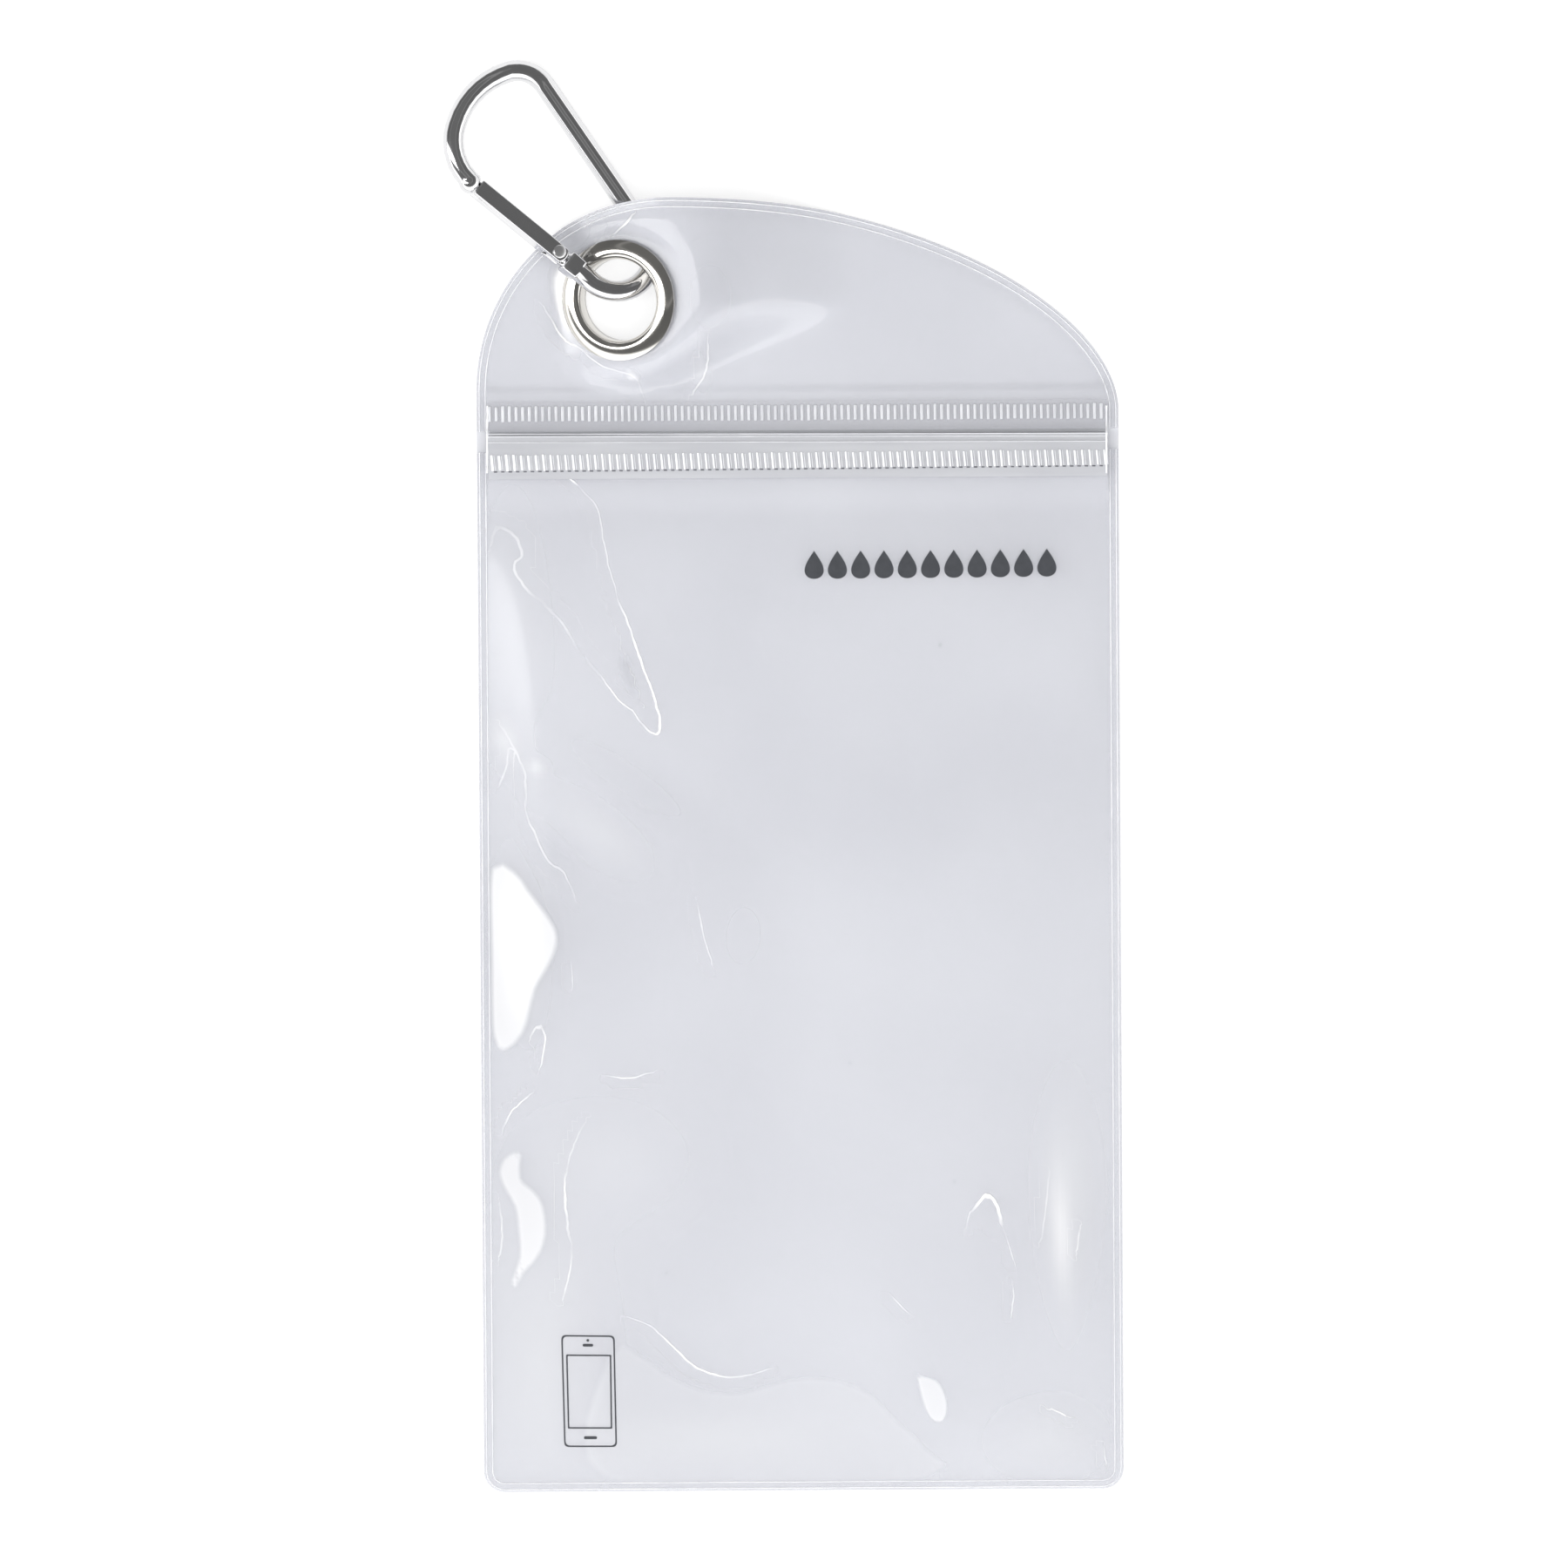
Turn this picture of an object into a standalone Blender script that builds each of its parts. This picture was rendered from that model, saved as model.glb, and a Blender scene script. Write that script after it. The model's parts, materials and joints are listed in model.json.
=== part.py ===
"""Splashproof phone pouch, lying flat and empty, with the spring clip that hangs in its eyelet.

The pouch is two sheets of film welded round a rim, with a press-seal zip let in between them.
The origin is the centre of the rear panel's flat underside: +Y runs to the flap, +Z up.
"""
import math

import bpy
import bmesh
from mathutils import Matrix, Vector, geometry

MM = 0.001
GAP = 0.3 * MM               # between pieces that touch

# Pouch outline
POUCH_WIDTH = 110.0 * MM
POUCH_LENGTH = 223.4 * MM
BOTTOM_CORNER_RADIUS = 3.6 * MM
LEFT_SHOULDER_RADIUS = 33.6 * MM
RIGHT_SHOULDER_DROP = 37.0 * MM
RIGHT_SHOULDER_POWER = 1.8   # 2 would be an ellipse
CROWN_RUN = 1.9 * MM         # level top edge between the two shoulders
SHOULDER_STEPS = 30
CROWN_STEPS = 16
FILM = 0.3 * MM
RIM_WIDTH = 1.6 * MM
RIM_STEP = 0.25 * MM         # how far the loose film stands above the welded rim
RIM_EASE = 1.6 * MM          # width of the slope beside the rim
SIDE_SPACING = 30.0 * MM     # between points along the rear film's straight edges

# Pocket
PILLOW_HEIGHT = 5.0 * MM     # air left between the two sheets
PILLOW_ACROSS_POWER = 4      # the higher, the flatter its middle
PILLOW_ALONG_POWER = 6
PANEL_SPACING = 7.0 * MM      # between points of the front panel

# Press-seal zip
ZIP_FROM_TOP = 42.3 * MM     # from the pouch's top to the middle of the closed track
ZIP_BASE = 0.4 * MM
ZIP_TRACK_WIDTH = 2.4 * MM
ZIP_TRACK_HEIGHT = 1.0 * MM
ZIP_LIP = 0.35 * MM
ZIP_HOOK = 0.15 * MM
ZIP_HOOK_HEIGHT = 0.3 * MM
ZIP_RIB = 0.4 * MM
ZIP_BARB = 0.14 * MM
ZIP_UPPER_FLANGE = 6.8 * MM  # from the track's middle to the flange's edge
ZIP_LOWER_FLANGE = 6.3 * MM
ZIP_END_SETBACK = 3.0 * MM   # from the pouch's edge
PANEL_SETBACK = 0.6 * MM     # from the track's side to the edge of each front sheet

# Eyelet
EYELET_FROM_EDGE = 15.48 * MM             # its centre, from the edge of the left shoulder
EYELET_BEARING = math.radians(118.33)     # its direction from the shoulder's own centre
EYELET_TILT = math.radians(22)
EYELET_HOLE_RADIUS = 7.0 * MM
EYELET_FLANGE_RADIUS = 10.35 * MM
EYELET_DOME = 1.15 * MM
EYELET_SHEET = 0.3 * MM
EYELET_CURL_RADIUS = 0.75 * MM
EYELET_REST = 0.25 * MM      # its lowest point above the table
EYELET_SIDES = 40
WASHER_RADIUS = 9.6 * MM
WASHER_THICKNESS = 0.3 * MM
FILM_FLAT = 0.5 * MM         # flat film beyond the flange
HUMP_RIGHT = 30.0 * MM       # how far the lifted film takes to settle, each way
HUMP_LEFT = 12.0 * MM
HUMP_UP = 52.0 * MM
HUMP_DOWN = 6.2 * MM
HUMP_SOFT = 5.0 * MM
HUMP_RINGS = 12
HUMP_RING_SPACING = 3.2 * MM
HUMP_SPOKES = 32
FLAP_SPACING = 4.2 * MM      # between points along the flap's edge

# Spring clip
WIRE = 3.6 * MM
CLIP_X = 4.22 * MM           # start of the narrow bend, from the eyelet's centre
CLIP_Y = 11.14 * MM
CLIP_HEADING = math.radians(123.9)
CLIP_TILT = math.radians(20.5)
SPINE_LENGTH = 30.6 * MM
NARROW_BEND_RADIUS = 6.4 * MM
NARROW_TOP_RADIUS = 6.8 * MM
GATE_ANGLE = math.radians(17.1)
WIDE_FIRST_RADIUS = 5.9 * MM      # the wide end is three bends, from the spine to the nose
WIDE_SECOND_RADIUS = 14.6 * MM
WIDE_THIRD_RADIUS = 9.2 * MM
WIDE_FIRST_TURN = 72.8            # degrees, as are the next three
WIDE_SECOND_TURN = 55.2
WIDE_THIRD_TURN = 67.8
BEND_STEP = 9.0                   # between sections of a bent wire
WIRE_SIDES_RESOLUTION = 6
LEAD = 2.95 * MM             # straight wire before the hinge block
HINGE_BLOCK = 3.1 * MM
HINGE_BLOCK_WIDTH = 3.6 * MM
NOSE_CAP_RADIUS = 1.95 * MM
NOSE_CAP_LENGTH = 1.1 * MM   # from the cap's flat face to its middle
OVERLAP = 1.0 * MM           # how far a shape runs into the one it joins or cuts
PIN_SIDES = 24

# Gate and its spring
GATE_WIDTH = 2.8 * MM
GATE_THICKNESS = 3.6 * MM
GATE_EDGE = 0.45 * MM
HEEL_RADIUS = 1.7 * MM
PIVOT_RADIUS = 0.7 * MM
PIVOT_CLEARANCE = 0.08 * MM
PIVOT_HEAD_RADIUS = 1.15 * MM
PIVOT_HEAD_HEIGHT = 0.4 * MM
PIVOT_HEAD_GAP = 0.12 * MM
TANG_THICKNESS = 1.2 * MM
TANG_WIDTH = 2.4 * MM
TANG_REACH = 1.3 * MM        # past the pivot
FORK_CLEARANCE = 0.2 * MM
FORK_DEPTH = 2.1 * MM        # past the pivot
NOSE_TONGUE = 1.5 * MM
NOSE_TONGUE_WIDTH = 1.4 * MM
NOSE_TONGUE_THICKNESS = 1.0 * MM
BORE_RADIUS = 0.85 * MM
BORE_CLEARANCE = 0.1 * MM
BORE_DEPTH = 9.5 * MM        # beyond the fork
PLUNGER_LENGTH = 2.2 * MM
SPRING_WIRE = 0.26 * MM
SPRING_TURNS = 7

HALF_WIDTH = POUCH_WIDTH / 2
TOP_Y = POUCH_LENGTH / 2
BOTTOM_Y = -POUCH_LENGTH / 2
SHOULDER_X = -HALF_WIDTH + LEFT_SHOULDER_RADIUS   # centre of the left shoulder's arc
SHOULDER_Y = TOP_Y - LEFT_SHOULDER_RADIUS
CROWN_X = SHOULDER_X + CROWN_RUN                  # where the flap's top edge starts to fall
ZIP_Y = TOP_Y - ZIP_FROM_TOP
ZIP_HALF_LENGTH = HALF_WIDTH - ZIP_END_SETBACK
LAYER = FILM + GAP           # underside of the second sheet where two lie together
ZIP_FRONT_Z = LAYER + ZIP_BASE + ZIP_TRACK_HEIGHT + GAP
FLAP_EDGE_Y = ZIP_Y + ZIP_TRACK_WIDTH / 2 + PANEL_SETBACK
PANEL_EDGE_Y = ZIP_Y - ZIP_TRACK_WIDTH / 2 - PANEL_SETBACK
EYELET_REACH = LEFT_SHOULDER_RADIUS - EYELET_FROM_EDGE
EYELET_X = SHOULDER_X + EYELET_REACH * math.cos(EYELET_BEARING)
EYELET_Y = SHOULDER_Y + EYELET_REACH * math.sin(EYELET_BEARING)
EYELET_BARREL = EYELET_HOLE_RADIUS + EYELET_SHEET
CURL_LOW = GAP + WASHER_THICKNESS + GAP + EYELET_SHEET
EYELET_Z = (EYELET_REST + (EYELET_BARREL + EYELET_CURL_RADIUS) * math.sin(EYELET_TILT)
            + CURL_LOW * math.cos(EYELET_TILT))
FILM_HOLE_RADIUS = EYELET_BARREL + GAP
FLAT_RADIUS = EYELET_FLANGE_RADIUS + FILM_FLAT
WIDE_BENDS = ((WIDE_FIRST_RADIUS, WIDE_FIRST_TURN), (WIDE_SECOND_RADIUS, WIDE_SECOND_TURN),
              (WIDE_THIRD_RADIUS, WIDE_THIRD_TURN))


def clear_scene():
    for obj in list(bpy.data.objects):
        bpy.data.objects.remove(obj, do_unlink=True)


def new_collection(name):
    collection = bpy.data.collections.new(name)
    bpy.context.scene.collection.children.link(collection)
    return collection


def new_material(name, colour, roughness, metallic=0.0, alpha=1.0):
    material = bpy.data.materials.new(name)
    material.use_nodes = True
    shader = material.node_tree.nodes["Principled BSDF"]
    shader.inputs["Base Color"].default_value = (*colour, 1.0)
    shader.inputs["Roughness"].default_value = roughness
    shader.inputs["Metallic"].default_value = metallic
    shader.inputs["Alpha"].default_value = alpha
    return material


def add_object(name, mesh, material=None, parent=None, smooth=None):
    """Link a finished part; smooth is the sharp-edge angle in degrees."""
    obj = bpy.data.objects.new(name, mesh)
    parts.objects.link(obj)
    if material:
        mesh.materials.clear()
        mesh.materials.append(material)
    obj.parent = parent
    if smooth:
        mesh.shade_smooth()
        mesh.set_sharp_from_angle(angle=math.radians(smooth))
    return obj


def add_tool(name, mesh, parent=None):
    """Link a shape that only cuts or joins other shapes."""
    obj = bpy.data.objects.new(name, mesh)
    cutters.objects.link(obj)
    obj.parent = parent
    obj.hide_render = True
    obj.display_type = "WIRE"
    return obj


def add_empty(name, matrix, parent=None):
    empty = bpy.data.objects.new(name, None)
    empty.empty_display_size = 5 * MM
    parts.objects.link(empty)
    empty.parent = parent
    empty.matrix_local = matrix
    return empty


def boolean(obj, tool, operation):
    modifier = obj.modifiers.new(operation.title() + " " + tool.name, "BOOLEAN")
    modifier.operation = operation
    modifier.solver = "EXACT"
    modifier.object = tool


def ease(t):
    t = min(max(t, 0.0), 1.0)
    return t * t * (3 - 2 * t)


# Outline of the pouch

def arc_points(centre, radius, start, end, count):
    """Points on an arc between two angles in degrees, both ends included."""
    angles = [math.radians(start + (end - start) * i / count) for i in range(count + 1)]
    return [(centre[0] + radius * math.cos(a), centre[1] + radius * math.sin(a)) for a in angles]


def right_shoulder():
    """A flattened quarter that falls from the crown to the right side."""
    base = TOP_Y - RIGHT_SHOULDER_DROP
    reach = HALF_WIDTH - CROWN_X
    points = []
    for i in range(SHOULDER_STEPS + 1):
        angle = math.radians(90.0 * i / SHOULDER_STEPS)
        x = CROWN_X + reach * math.cos(angle) ** (2 / RIGHT_SHOULDER_POWER)
        y = base + RIGHT_SHOULDER_DROP * math.sin(angle) ** (2 / RIGHT_SHOULDER_POWER)
        points.append((x, y))
    return points


def side_points(x, y_from, y_to, spacing):
    count = max(1, round(abs(y_to - y_from) / spacing))
    return [(x, y_from + (y_to - y_from) * i / count) for i in range(1, count)]


def row_points(y, x_from, x_to, spacing):
    count = max(1, round(abs(x_to - x_from) / spacing))
    return [(x_from + (x_to - x_from) * i / count, y) for i in range(1, count)]


def flap_outline(y_low, inset, spacing):
    """The part of the outline above y_low, counter-clockwise from its lower left corner."""
    half = HALF_WIDTH - inset
    shoulder = inset_curve(right_shoulder(), inset)
    crown = arc_points((SHOULDER_X, SHOULDER_Y), LEFT_SHOULDER_RADIUS - inset, 90, 180, CROWN_STEPS)
    points = [(-half, y_low)]
    points += row_points(y_low, -half, half, spacing)
    points += [(half, y_low)]
    points += side_points(half, y_low, shoulder[0][1], spacing)
    points += shoulder + crown
    points += side_points(-half, crown[-1][1], y_low, spacing)
    return points


def inset_curve(points, distance):
    """Move an open run of points to its left, square to the run."""
    moved = []
    for i, point in enumerate(points):
        before = points[max(i - 1, 0)]
        after = points[min(i + 1, len(points) - 1)]
        along = Vector((after[0] - before[0], after[1] - before[1])).normalized()
        moved.append((point[0] - along.y * distance, point[1] + along.x * distance))
    return moved


def pocket_outline(y_high, inset, spacing):
    """The part of the outline below y_high, counter-clockwise from its upper left corner."""
    half = HALF_WIDTH - inset
    low = BOTTOM_Y + inset
    radius = BOTTOM_CORNER_RADIUS - inset
    left = arc_points((-half + radius, low + radius), radius, 180, 270, 4)
    right = arc_points((half - radius, low + radius), radius, 270, 360, 4)
    points = [(-half, y_high)]
    points += side_points(-half, y_high, left[0][1], spacing)
    points += left + row_points(low, left[-1][0], right[0][0], spacing) + right
    points += side_points(half, right[-1][1], y_high, spacing)
    points += [(half, y_high)]
    points += row_points(y_high, half, -half, spacing)
    return points


def full_outline():
    """The whole pouch, counter-clockwise: the pocket's run joined to the flap's."""
    lower = pocket_outline(FLAP_EDGE_Y, 0, SIDE_SPACING)
    upper = flap_outline(FLAP_EDGE_Y, 0, FLAP_SPACING)
    corner = lower.index((HALF_WIDTH, FLAP_EDGE_Y)) + 1
    start = upper.index((HALF_WIDTH, FLAP_EDGE_Y)) + 1
    return lower[:corner] + upper[start:]


# Height of the films above the table

def rear_height(x, y):
    """Underside of the rear film: flat, but carried up to the tilted eyelet and over the spine."""
    dx = x - EYELET_X
    dy = y - EYELET_Y
    distance = max(math.hypot(dx, dy), 1e-9)
    beyond = abs(dx) - FLAT_RADIUS
    if beyond > 0:
        dx = math.copysign(FLAT_RADIUS + HUMP_SOFT * math.tanh(beyond / HUMP_SOFT), dx)
    settle = math.hypot((x - EYELET_X) / (HUMP_RIGHT if dx > 0 else HUMP_LEFT),
                        dy / (HUMP_UP if dy > 0 else HUMP_DOWN)) / distance
    fade = 1 - ease((distance - FLAT_RADIUS) * settle)
    return max(EYELET_Z + math.tan(EYELET_TILT) * dx, 0.0) * fade


def off_the_side(x, width):
    """0 on the welded rim at either side, 1 past a slope of the given width."""
    return ease((HALF_WIDTH - RIM_WIDTH - abs(x)) / width)


def flap_height(x, y):
    """Underside of the flap's clear layer, which also passes over the zip's upper flange."""
    over_zip = ease((ZIP_Y + ZIP_UPPER_FLANGE + 2 * RIM_EASE - y) / RIM_EASE)
    zip_lift = ZIP_BASE + GAP
    loose = ease((eyelet_distance(x, y) - FLAT_RADIUS) / HUMP_RING_SPACING)
    step = RIM_STEP * loose * ease((flap_depth(x, y) - RIM_WIDTH) / RIM_EASE)
    lift = max(step, zip_lift * over_zip * off_the_side(x, RIM_WIDTH / 2))
    return rear_height(x, y) + LAYER + lift


def flap_depth(x, y):
    """Distance in from the flap's edge, near enough for the rim's step."""
    side = HALF_WIDTH - abs(x)
    if x < CROWN_X:
        if y < SHOULDER_Y:
            return side
        return LEFT_SHOULDER_RADIUS - math.hypot(min(x - SHOULDER_X, 0.0), y - SHOULDER_Y)
    base = TOP_Y - RIGHT_SHOULDER_DROP
    if y < base:
        return side
    across = (x - CROWN_X) / (HALF_WIDTH - CROWN_X)
    up = (y - base) / RIGHT_SHOULDER_DROP
    level = (across ** RIGHT_SHOULDER_POWER + up ** RIGHT_SHOULDER_POWER)
    radius = math.hypot(x - CROWN_X, y - base)
    return radius * (level ** (-1 / RIGHT_SHOULDER_POWER) - 1)


def panel_height(x, y):
    """Underside of the front panel: a low pillow that ends level under the zip's lower flange."""
    flange_edge = ZIP_Y - ZIP_LOWER_FLANGE
    low = BOTTOM_Y + RIM_WIDTH
    across = min(abs(x) / (HALF_WIDTH - RIM_WIDTH), 1.0)
    along = min(abs(2 * (y - low) / (flange_edge - low) - 1), 1.0)
    pillow = PILLOW_HEIGHT * (1 - across ** PILLOW_ACROSS_POWER) * (1 - along ** PILLOW_ALONG_POWER)
    seat = (ZIP_FRONT_Z - GAP - FILM - LAYER) * ease(1 - (flange_edge - y) / ZIP_LOWER_FLANGE)
    return LAYER + pillow + seat * off_the_side(x, RIM_WIDTH / 2)


# Films

def grid_points(x_from, x_to, y_from, y_to, spacing, keep):
    points = []
    columns = round((x_to - x_from) / spacing)
    rows = round((y_to - y_from) / spacing)
    for i in range(columns + 1):
        for j in range(rows + 1):
            x = x_from + (x_to - x_from) * i / columns
            y = y_from + (y_to - y_from) * j / rows
            if keep(x, y):
                points.append((x, y))
    return points


def film_sheet(name, outline, inner, hole, height, material):
    """A sheet of film: an outline filled with triangles, lifted to its height, given thickness."""
    loops = [outline] + ([hole] if hole else [])
    points = []
    edges = []
    for loop in loops:
        first = len(points)
        points += loop
        edges += [(first + i, first + (i + 1) % len(loop)) for i in range(len(loop))]
    points += inner
    flat = [Vector((x / MM, y / MM)) for x, y in points]
    verts, _, faces, _, _, _ = geometry.delaunay_2d_cdt(flat, edges, [], 2, 1e-4)
    bm = bmesh.new()
    made = [bm.verts.new((v.x * MM, v.y * MM, height(v.x * MM, v.y * MM))) for v in verts]
    for face in faces:
        corners = [made[i] for i in face]
        x = sum(v.co.x for v in corners) / len(corners)
        y = sum(v.co.y for v in corners) / len(corners)
        if not (hole and eyelet_distance(x, y) < FILM_HOLE_RADIUS):
            bm.faces.new(corners)
    bmesh.ops.delete(bm, geom=[v for v in bm.verts if not v.link_faces], context="VERTS")
    if sum(f.normal.z for f in bm.faces) < 0:
        bmesh.ops.reverse_faces(bm, faces=bm.faces)
    bm.normal_update()
    mesh = bpy.data.meshes.new(name)
    bm.to_mesh(mesh)
    bm.free()
    obj = add_object(name, mesh, material, smooth=40)
    solid = obj.modifiers.new("Film thickness", "SOLIDIFY")
    solid.thickness = FILM
    solid.offset = 1
    return obj


def eyelet_distance(x, y):
    return math.hypot(x - EYELET_X, y - EYELET_Y)


def hump_points(margin):
    """Rings round the eyelet, kept where they lie at least margin inside the flap's edge."""
    centre = (EYELET_X, EYELET_Y)
    points = []
    for i in range(HUMP_RINGS + 1):
        radius = FLAT_RADIUS + i * HUMP_RING_SPACING
        points += arc_points(centre, radius, 0, 360, HUMP_SPOKES)[:-1]
    low = ZIP_Y + ZIP_UPPER_FLANGE + 2 * RIM_EASE
    return [(x, y) for x, y in points if y > low and flap_depth(x, y) > margin]


def film_hole():
    return arc_points((EYELET_X, EYELET_Y), FILM_HOLE_RADIUS, 0, 360, HUMP_SPOKES)[:-1]


def flap_points():
    """Points inside the flap that both of its films share, so that they lie evenly together."""
    inner = hump_points(RIM_WIDTH + RIM_EASE + FLAP_SPACING / 4)
    flange_edge = ZIP_Y + ZIP_UPPER_FLANGE
    for inset in (RIM_WIDTH, RIM_WIDTH + RIM_EASE):
        ring = flap_outline(FLAP_EDGE_Y, inset, FLAP_SPACING)
        inner += [p for p in ring if p[1] > flange_edge + 2 * RIM_EASE]
    for y in (flange_edge, flange_edge + RIM_EASE, flange_edge + 2 * RIM_EASE):
        inner += across_points(y)
    return inner


def make_rear_panel(material):
    outline = full_outline()
    film_sheet("rear_panel", outline, flap_points(), film_hole(), rear_height, material)


def make_flap_layer(material):
    """The clear front layer of the flap, from the zip's upper flange to the top edge."""
    outline = flap_outline(FLAP_EDGE_Y, 0, FLAP_SPACING)
    inner = flap_points() + across_points(FLAP_EDGE_Y)
    film_sheet("flap_layer", outline, inner, film_hole(), flap_height, material)


def across_points(y):
    """A row across the pouch that follows the slope beside each welded edge."""
    edge = HALF_WIDTH - RIM_WIDTH
    level = edge - RIM_WIDTH / 2
    ends = [(-edge, y), (-level, y), (level, y), (edge, y)]
    return ends + row_points(y, -level, level, FLAP_SPACING)


def make_front_panel(material):
    spacing = PANEL_SPACING
    inner = []
    for inset in (RIM_WIDTH, RIM_WIDTH + RIM_EASE, RIM_WIDTH + 3 * RIM_EASE):
        ring = pocket_outline(PANEL_EDGE_Y, inset, spacing)
        inner += [p for p in ring if p[1] < PANEL_EDGE_Y - spacing / 4]
    flange_edge = ZIP_Y - ZIP_LOWER_FLANGE
    margin = RIM_WIDTH + 4 * RIM_EASE
    low = BOTTOM_Y + margin

    def keep(x, y):
        return abs(x) < HALF_WIDTH - margin and low < y < flange_edge - spacing / 2
    inner += grid_points(-HALF_WIDTH, HALF_WIDTH, BOTTOM_Y, PANEL_EDGE_Y, spacing, keep)
    inner += across_points(flange_edge) + across_points(PANEL_EDGE_Y)
    outline = pocket_outline(PANEL_EDGE_Y, 0, spacing)
    film_sheet("front_panel", outline, inner, None, panel_height, material)


# Press-seal zip

def plate(name, outline, thickness):
    """A flat outline in X and Y made into a mesh of the given thickness about Z = 0."""
    curve = bpy.data.curves.new(name, "CURVE")
    curve.dimensions = "2D"
    curve.fill_mode = "BOTH"
    curve.extrude = thickness / 2
    spline = curve.splines.new("POLY")
    spline.points.add(len(outline) - 1)
    for point, (x, y) in zip(spline.points, outline):
        point.co = (x, y, 0, 1)
    spline.use_cyclic_u = True
    return curve_to_mesh(name, curve)


def curve_to_mesh(name, curve):
    """The evaluated curve as a closed mesh, with its caps welded on."""
    guide = bpy.data.objects.new(name, curve)
    bpy.context.scene.collection.objects.link(guide)
    evaluated = guide.evaluated_get(bpy.context.evaluated_depsgraph_get())
    mesh = bpy.data.meshes.new_from_object(evaluated)
    bpy.data.objects.remove(guide, do_unlink=True)
    bm = bmesh.new()
    bm.from_mesh(mesh)
    bmesh.ops.remove_doubles(bm, verts=bm.verts, dist=1e-6)
    bmesh.ops.recalc_face_normals(bm, faces=bm.faces)
    bm.to_mesh(mesh)
    bm.free()
    mesh.name = name
    return mesh


def groove_profile():
    """Rear half: a flange up the flap and a track with two hooked lips, in Y and Z."""
    half = ZIP_TRACK_WIDTH / 2
    low = LAYER
    base = low + ZIP_BASE
    top = base + ZIP_TRACK_HEIGHT
    hook = top - ZIP_HOOK_HEIGHT
    inside = half - ZIP_LIP
    right = [(half, base), (half, top), (inside - ZIP_HOOK, top), (inside - ZIP_HOOK, hook),
             (inside, hook - ZIP_HOOK), (inside, base)]
    left = [(-y, z) for y, z in reversed(right[1:])] + [(-half, low)]
    return [(ZIP_UPPER_FLANGE, low), (ZIP_UPPER_FLANGE, base)] + right + left


def rib_profile():
    """Front half: a flange down the pocket and a rib whose barbs sit under the lips."""
    half = ZIP_TRACK_WIDTH / 2
    low = ZIP_FRONT_Z
    top = low + ZIP_BASE
    tip = LAYER + ZIP_BASE + GAP
    barb = half - ZIP_LIP - ZIP_HOOK + ZIP_BARB - GAP / 3
    barb_top = LAYER + ZIP_BASE + ZIP_TRACK_HEIGHT - ZIP_HOOK_HEIGHT - ZIP_HOOK - GAP / 3
    stem = ZIP_RIB / 2
    return [(half, low), (half, top), (-ZIP_LOWER_FLANGE, top), (-ZIP_LOWER_FLANGE, low),
            (-stem, low), (-stem, barb_top), (-barb, barb_top - GAP / 3), (-stem, tip),
            (stem, tip), (barb, barb_top - GAP / 3), (stem, barb_top), (stem, low)]


def make_zip_half(name, profile, material):
    obj = add_object(name, plate(name, profile, 2 * ZIP_HALF_LENGTH), material)
    obj.location = (0, ZIP_Y, 0)
    obj.rotation_euler = (math.pi / 2, 0, math.pi / 2)


# Eyelet

def turned(name, profile, sides, material, parent, matrix=Matrix()):
    """A profile in X and Z turned about Z: a ring's is closed, others start and end on the axis."""
    bm = bmesh.new()
    made = [bm.verts.new((x, 0, z)) for x, z in profile]
    closed = min(x for x, _ in profile) > 0
    for start, end in zip(made, made[1:] + (made[:1] if closed else [])):
        bm.edges.new((start, end))
    mesh = bpy.data.meshes.new(name)
    bm.to_mesh(mesh)
    bm.free()
    obj = add_object(name, mesh, material, parent)
    obj.matrix_local = matrix
    screw = obj.modifiers.new("Turned", "SCREW")
    screw.axis = "Z"
    screw.angle = math.tau
    screw.steps = sides
    screw.render_steps = sides
    screw.use_merge_vertices = True
    screw.merge_threshold = 1e-6
    screw.use_smooth_shade = True
    return obj


def eyelet_profile():
    """Domed flange on the front film, a barrel through both films, and the rolled rear edge."""
    seat = 2 * FILM + 2 * GAP
    middle = (EYELET_HOLE_RADIUS + EYELET_FLANGE_RADIUS) / 2
    half = (EYELET_FLANGE_RADIUS - EYELET_HOLE_RADIUS) / 2
    dome = [(middle + half * math.cos(a), seat + EYELET_DOME * math.sin(a))
            for a in (math.radians(180 * i / 8) for i in range(9))]
    under = [(middle + (half - EYELET_SHEET) * math.cos(a),
              seat + (EYELET_DOME - EYELET_SHEET) * math.sin(a))
             for a in (math.radians(180 - 180 * i / 5) for i in range(6))]
    low = -CURL_LOW
    curl_centre = EYELET_HOLE_RADIUS + EYELET_CURL_RADIUS
    outer = [(curl_centre + EYELET_CURL_RADIUS * math.cos(a), low + EYELET_SHEET
              + (EYELET_SHEET * math.sin(a)))
             for a in (math.radians(180 + 180 * i / 5) for i in range(6))]
    tip = (EYELET_BARREL + EYELET_CURL_RADIUS, low + EYELET_SHEET)
    profile = dome + outer + [tip, (EYELET_BARREL, low + EYELET_SHEET)] + under
    return profile[::-1]


def make_eyelet(materials):
    tilt = Matrix.Translation((EYELET_X, EYELET_Y, EYELET_Z)) @ Matrix.Rotation(-EYELET_TILT, 4, "Y")
    frame = add_empty("eyelet_frame", tilt)
    turned("eyelet", eyelet_profile(), EYELET_SIDES, materials["nickel"], frame)
    outer, inner = WASHER_RADIUS, EYELET_BARREL + GAP / 2
    top, low = -GAP, -GAP - WASHER_THICKNESS
    turned("eyelet_washer", [(inner, top), (outer, top), (outer, low), (inner, low)],
           EYELET_SIDES, materials["nickel"], frame)


# Spring clip: in its own frame the spine lies along +X, the gate is on the +Y side

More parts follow.
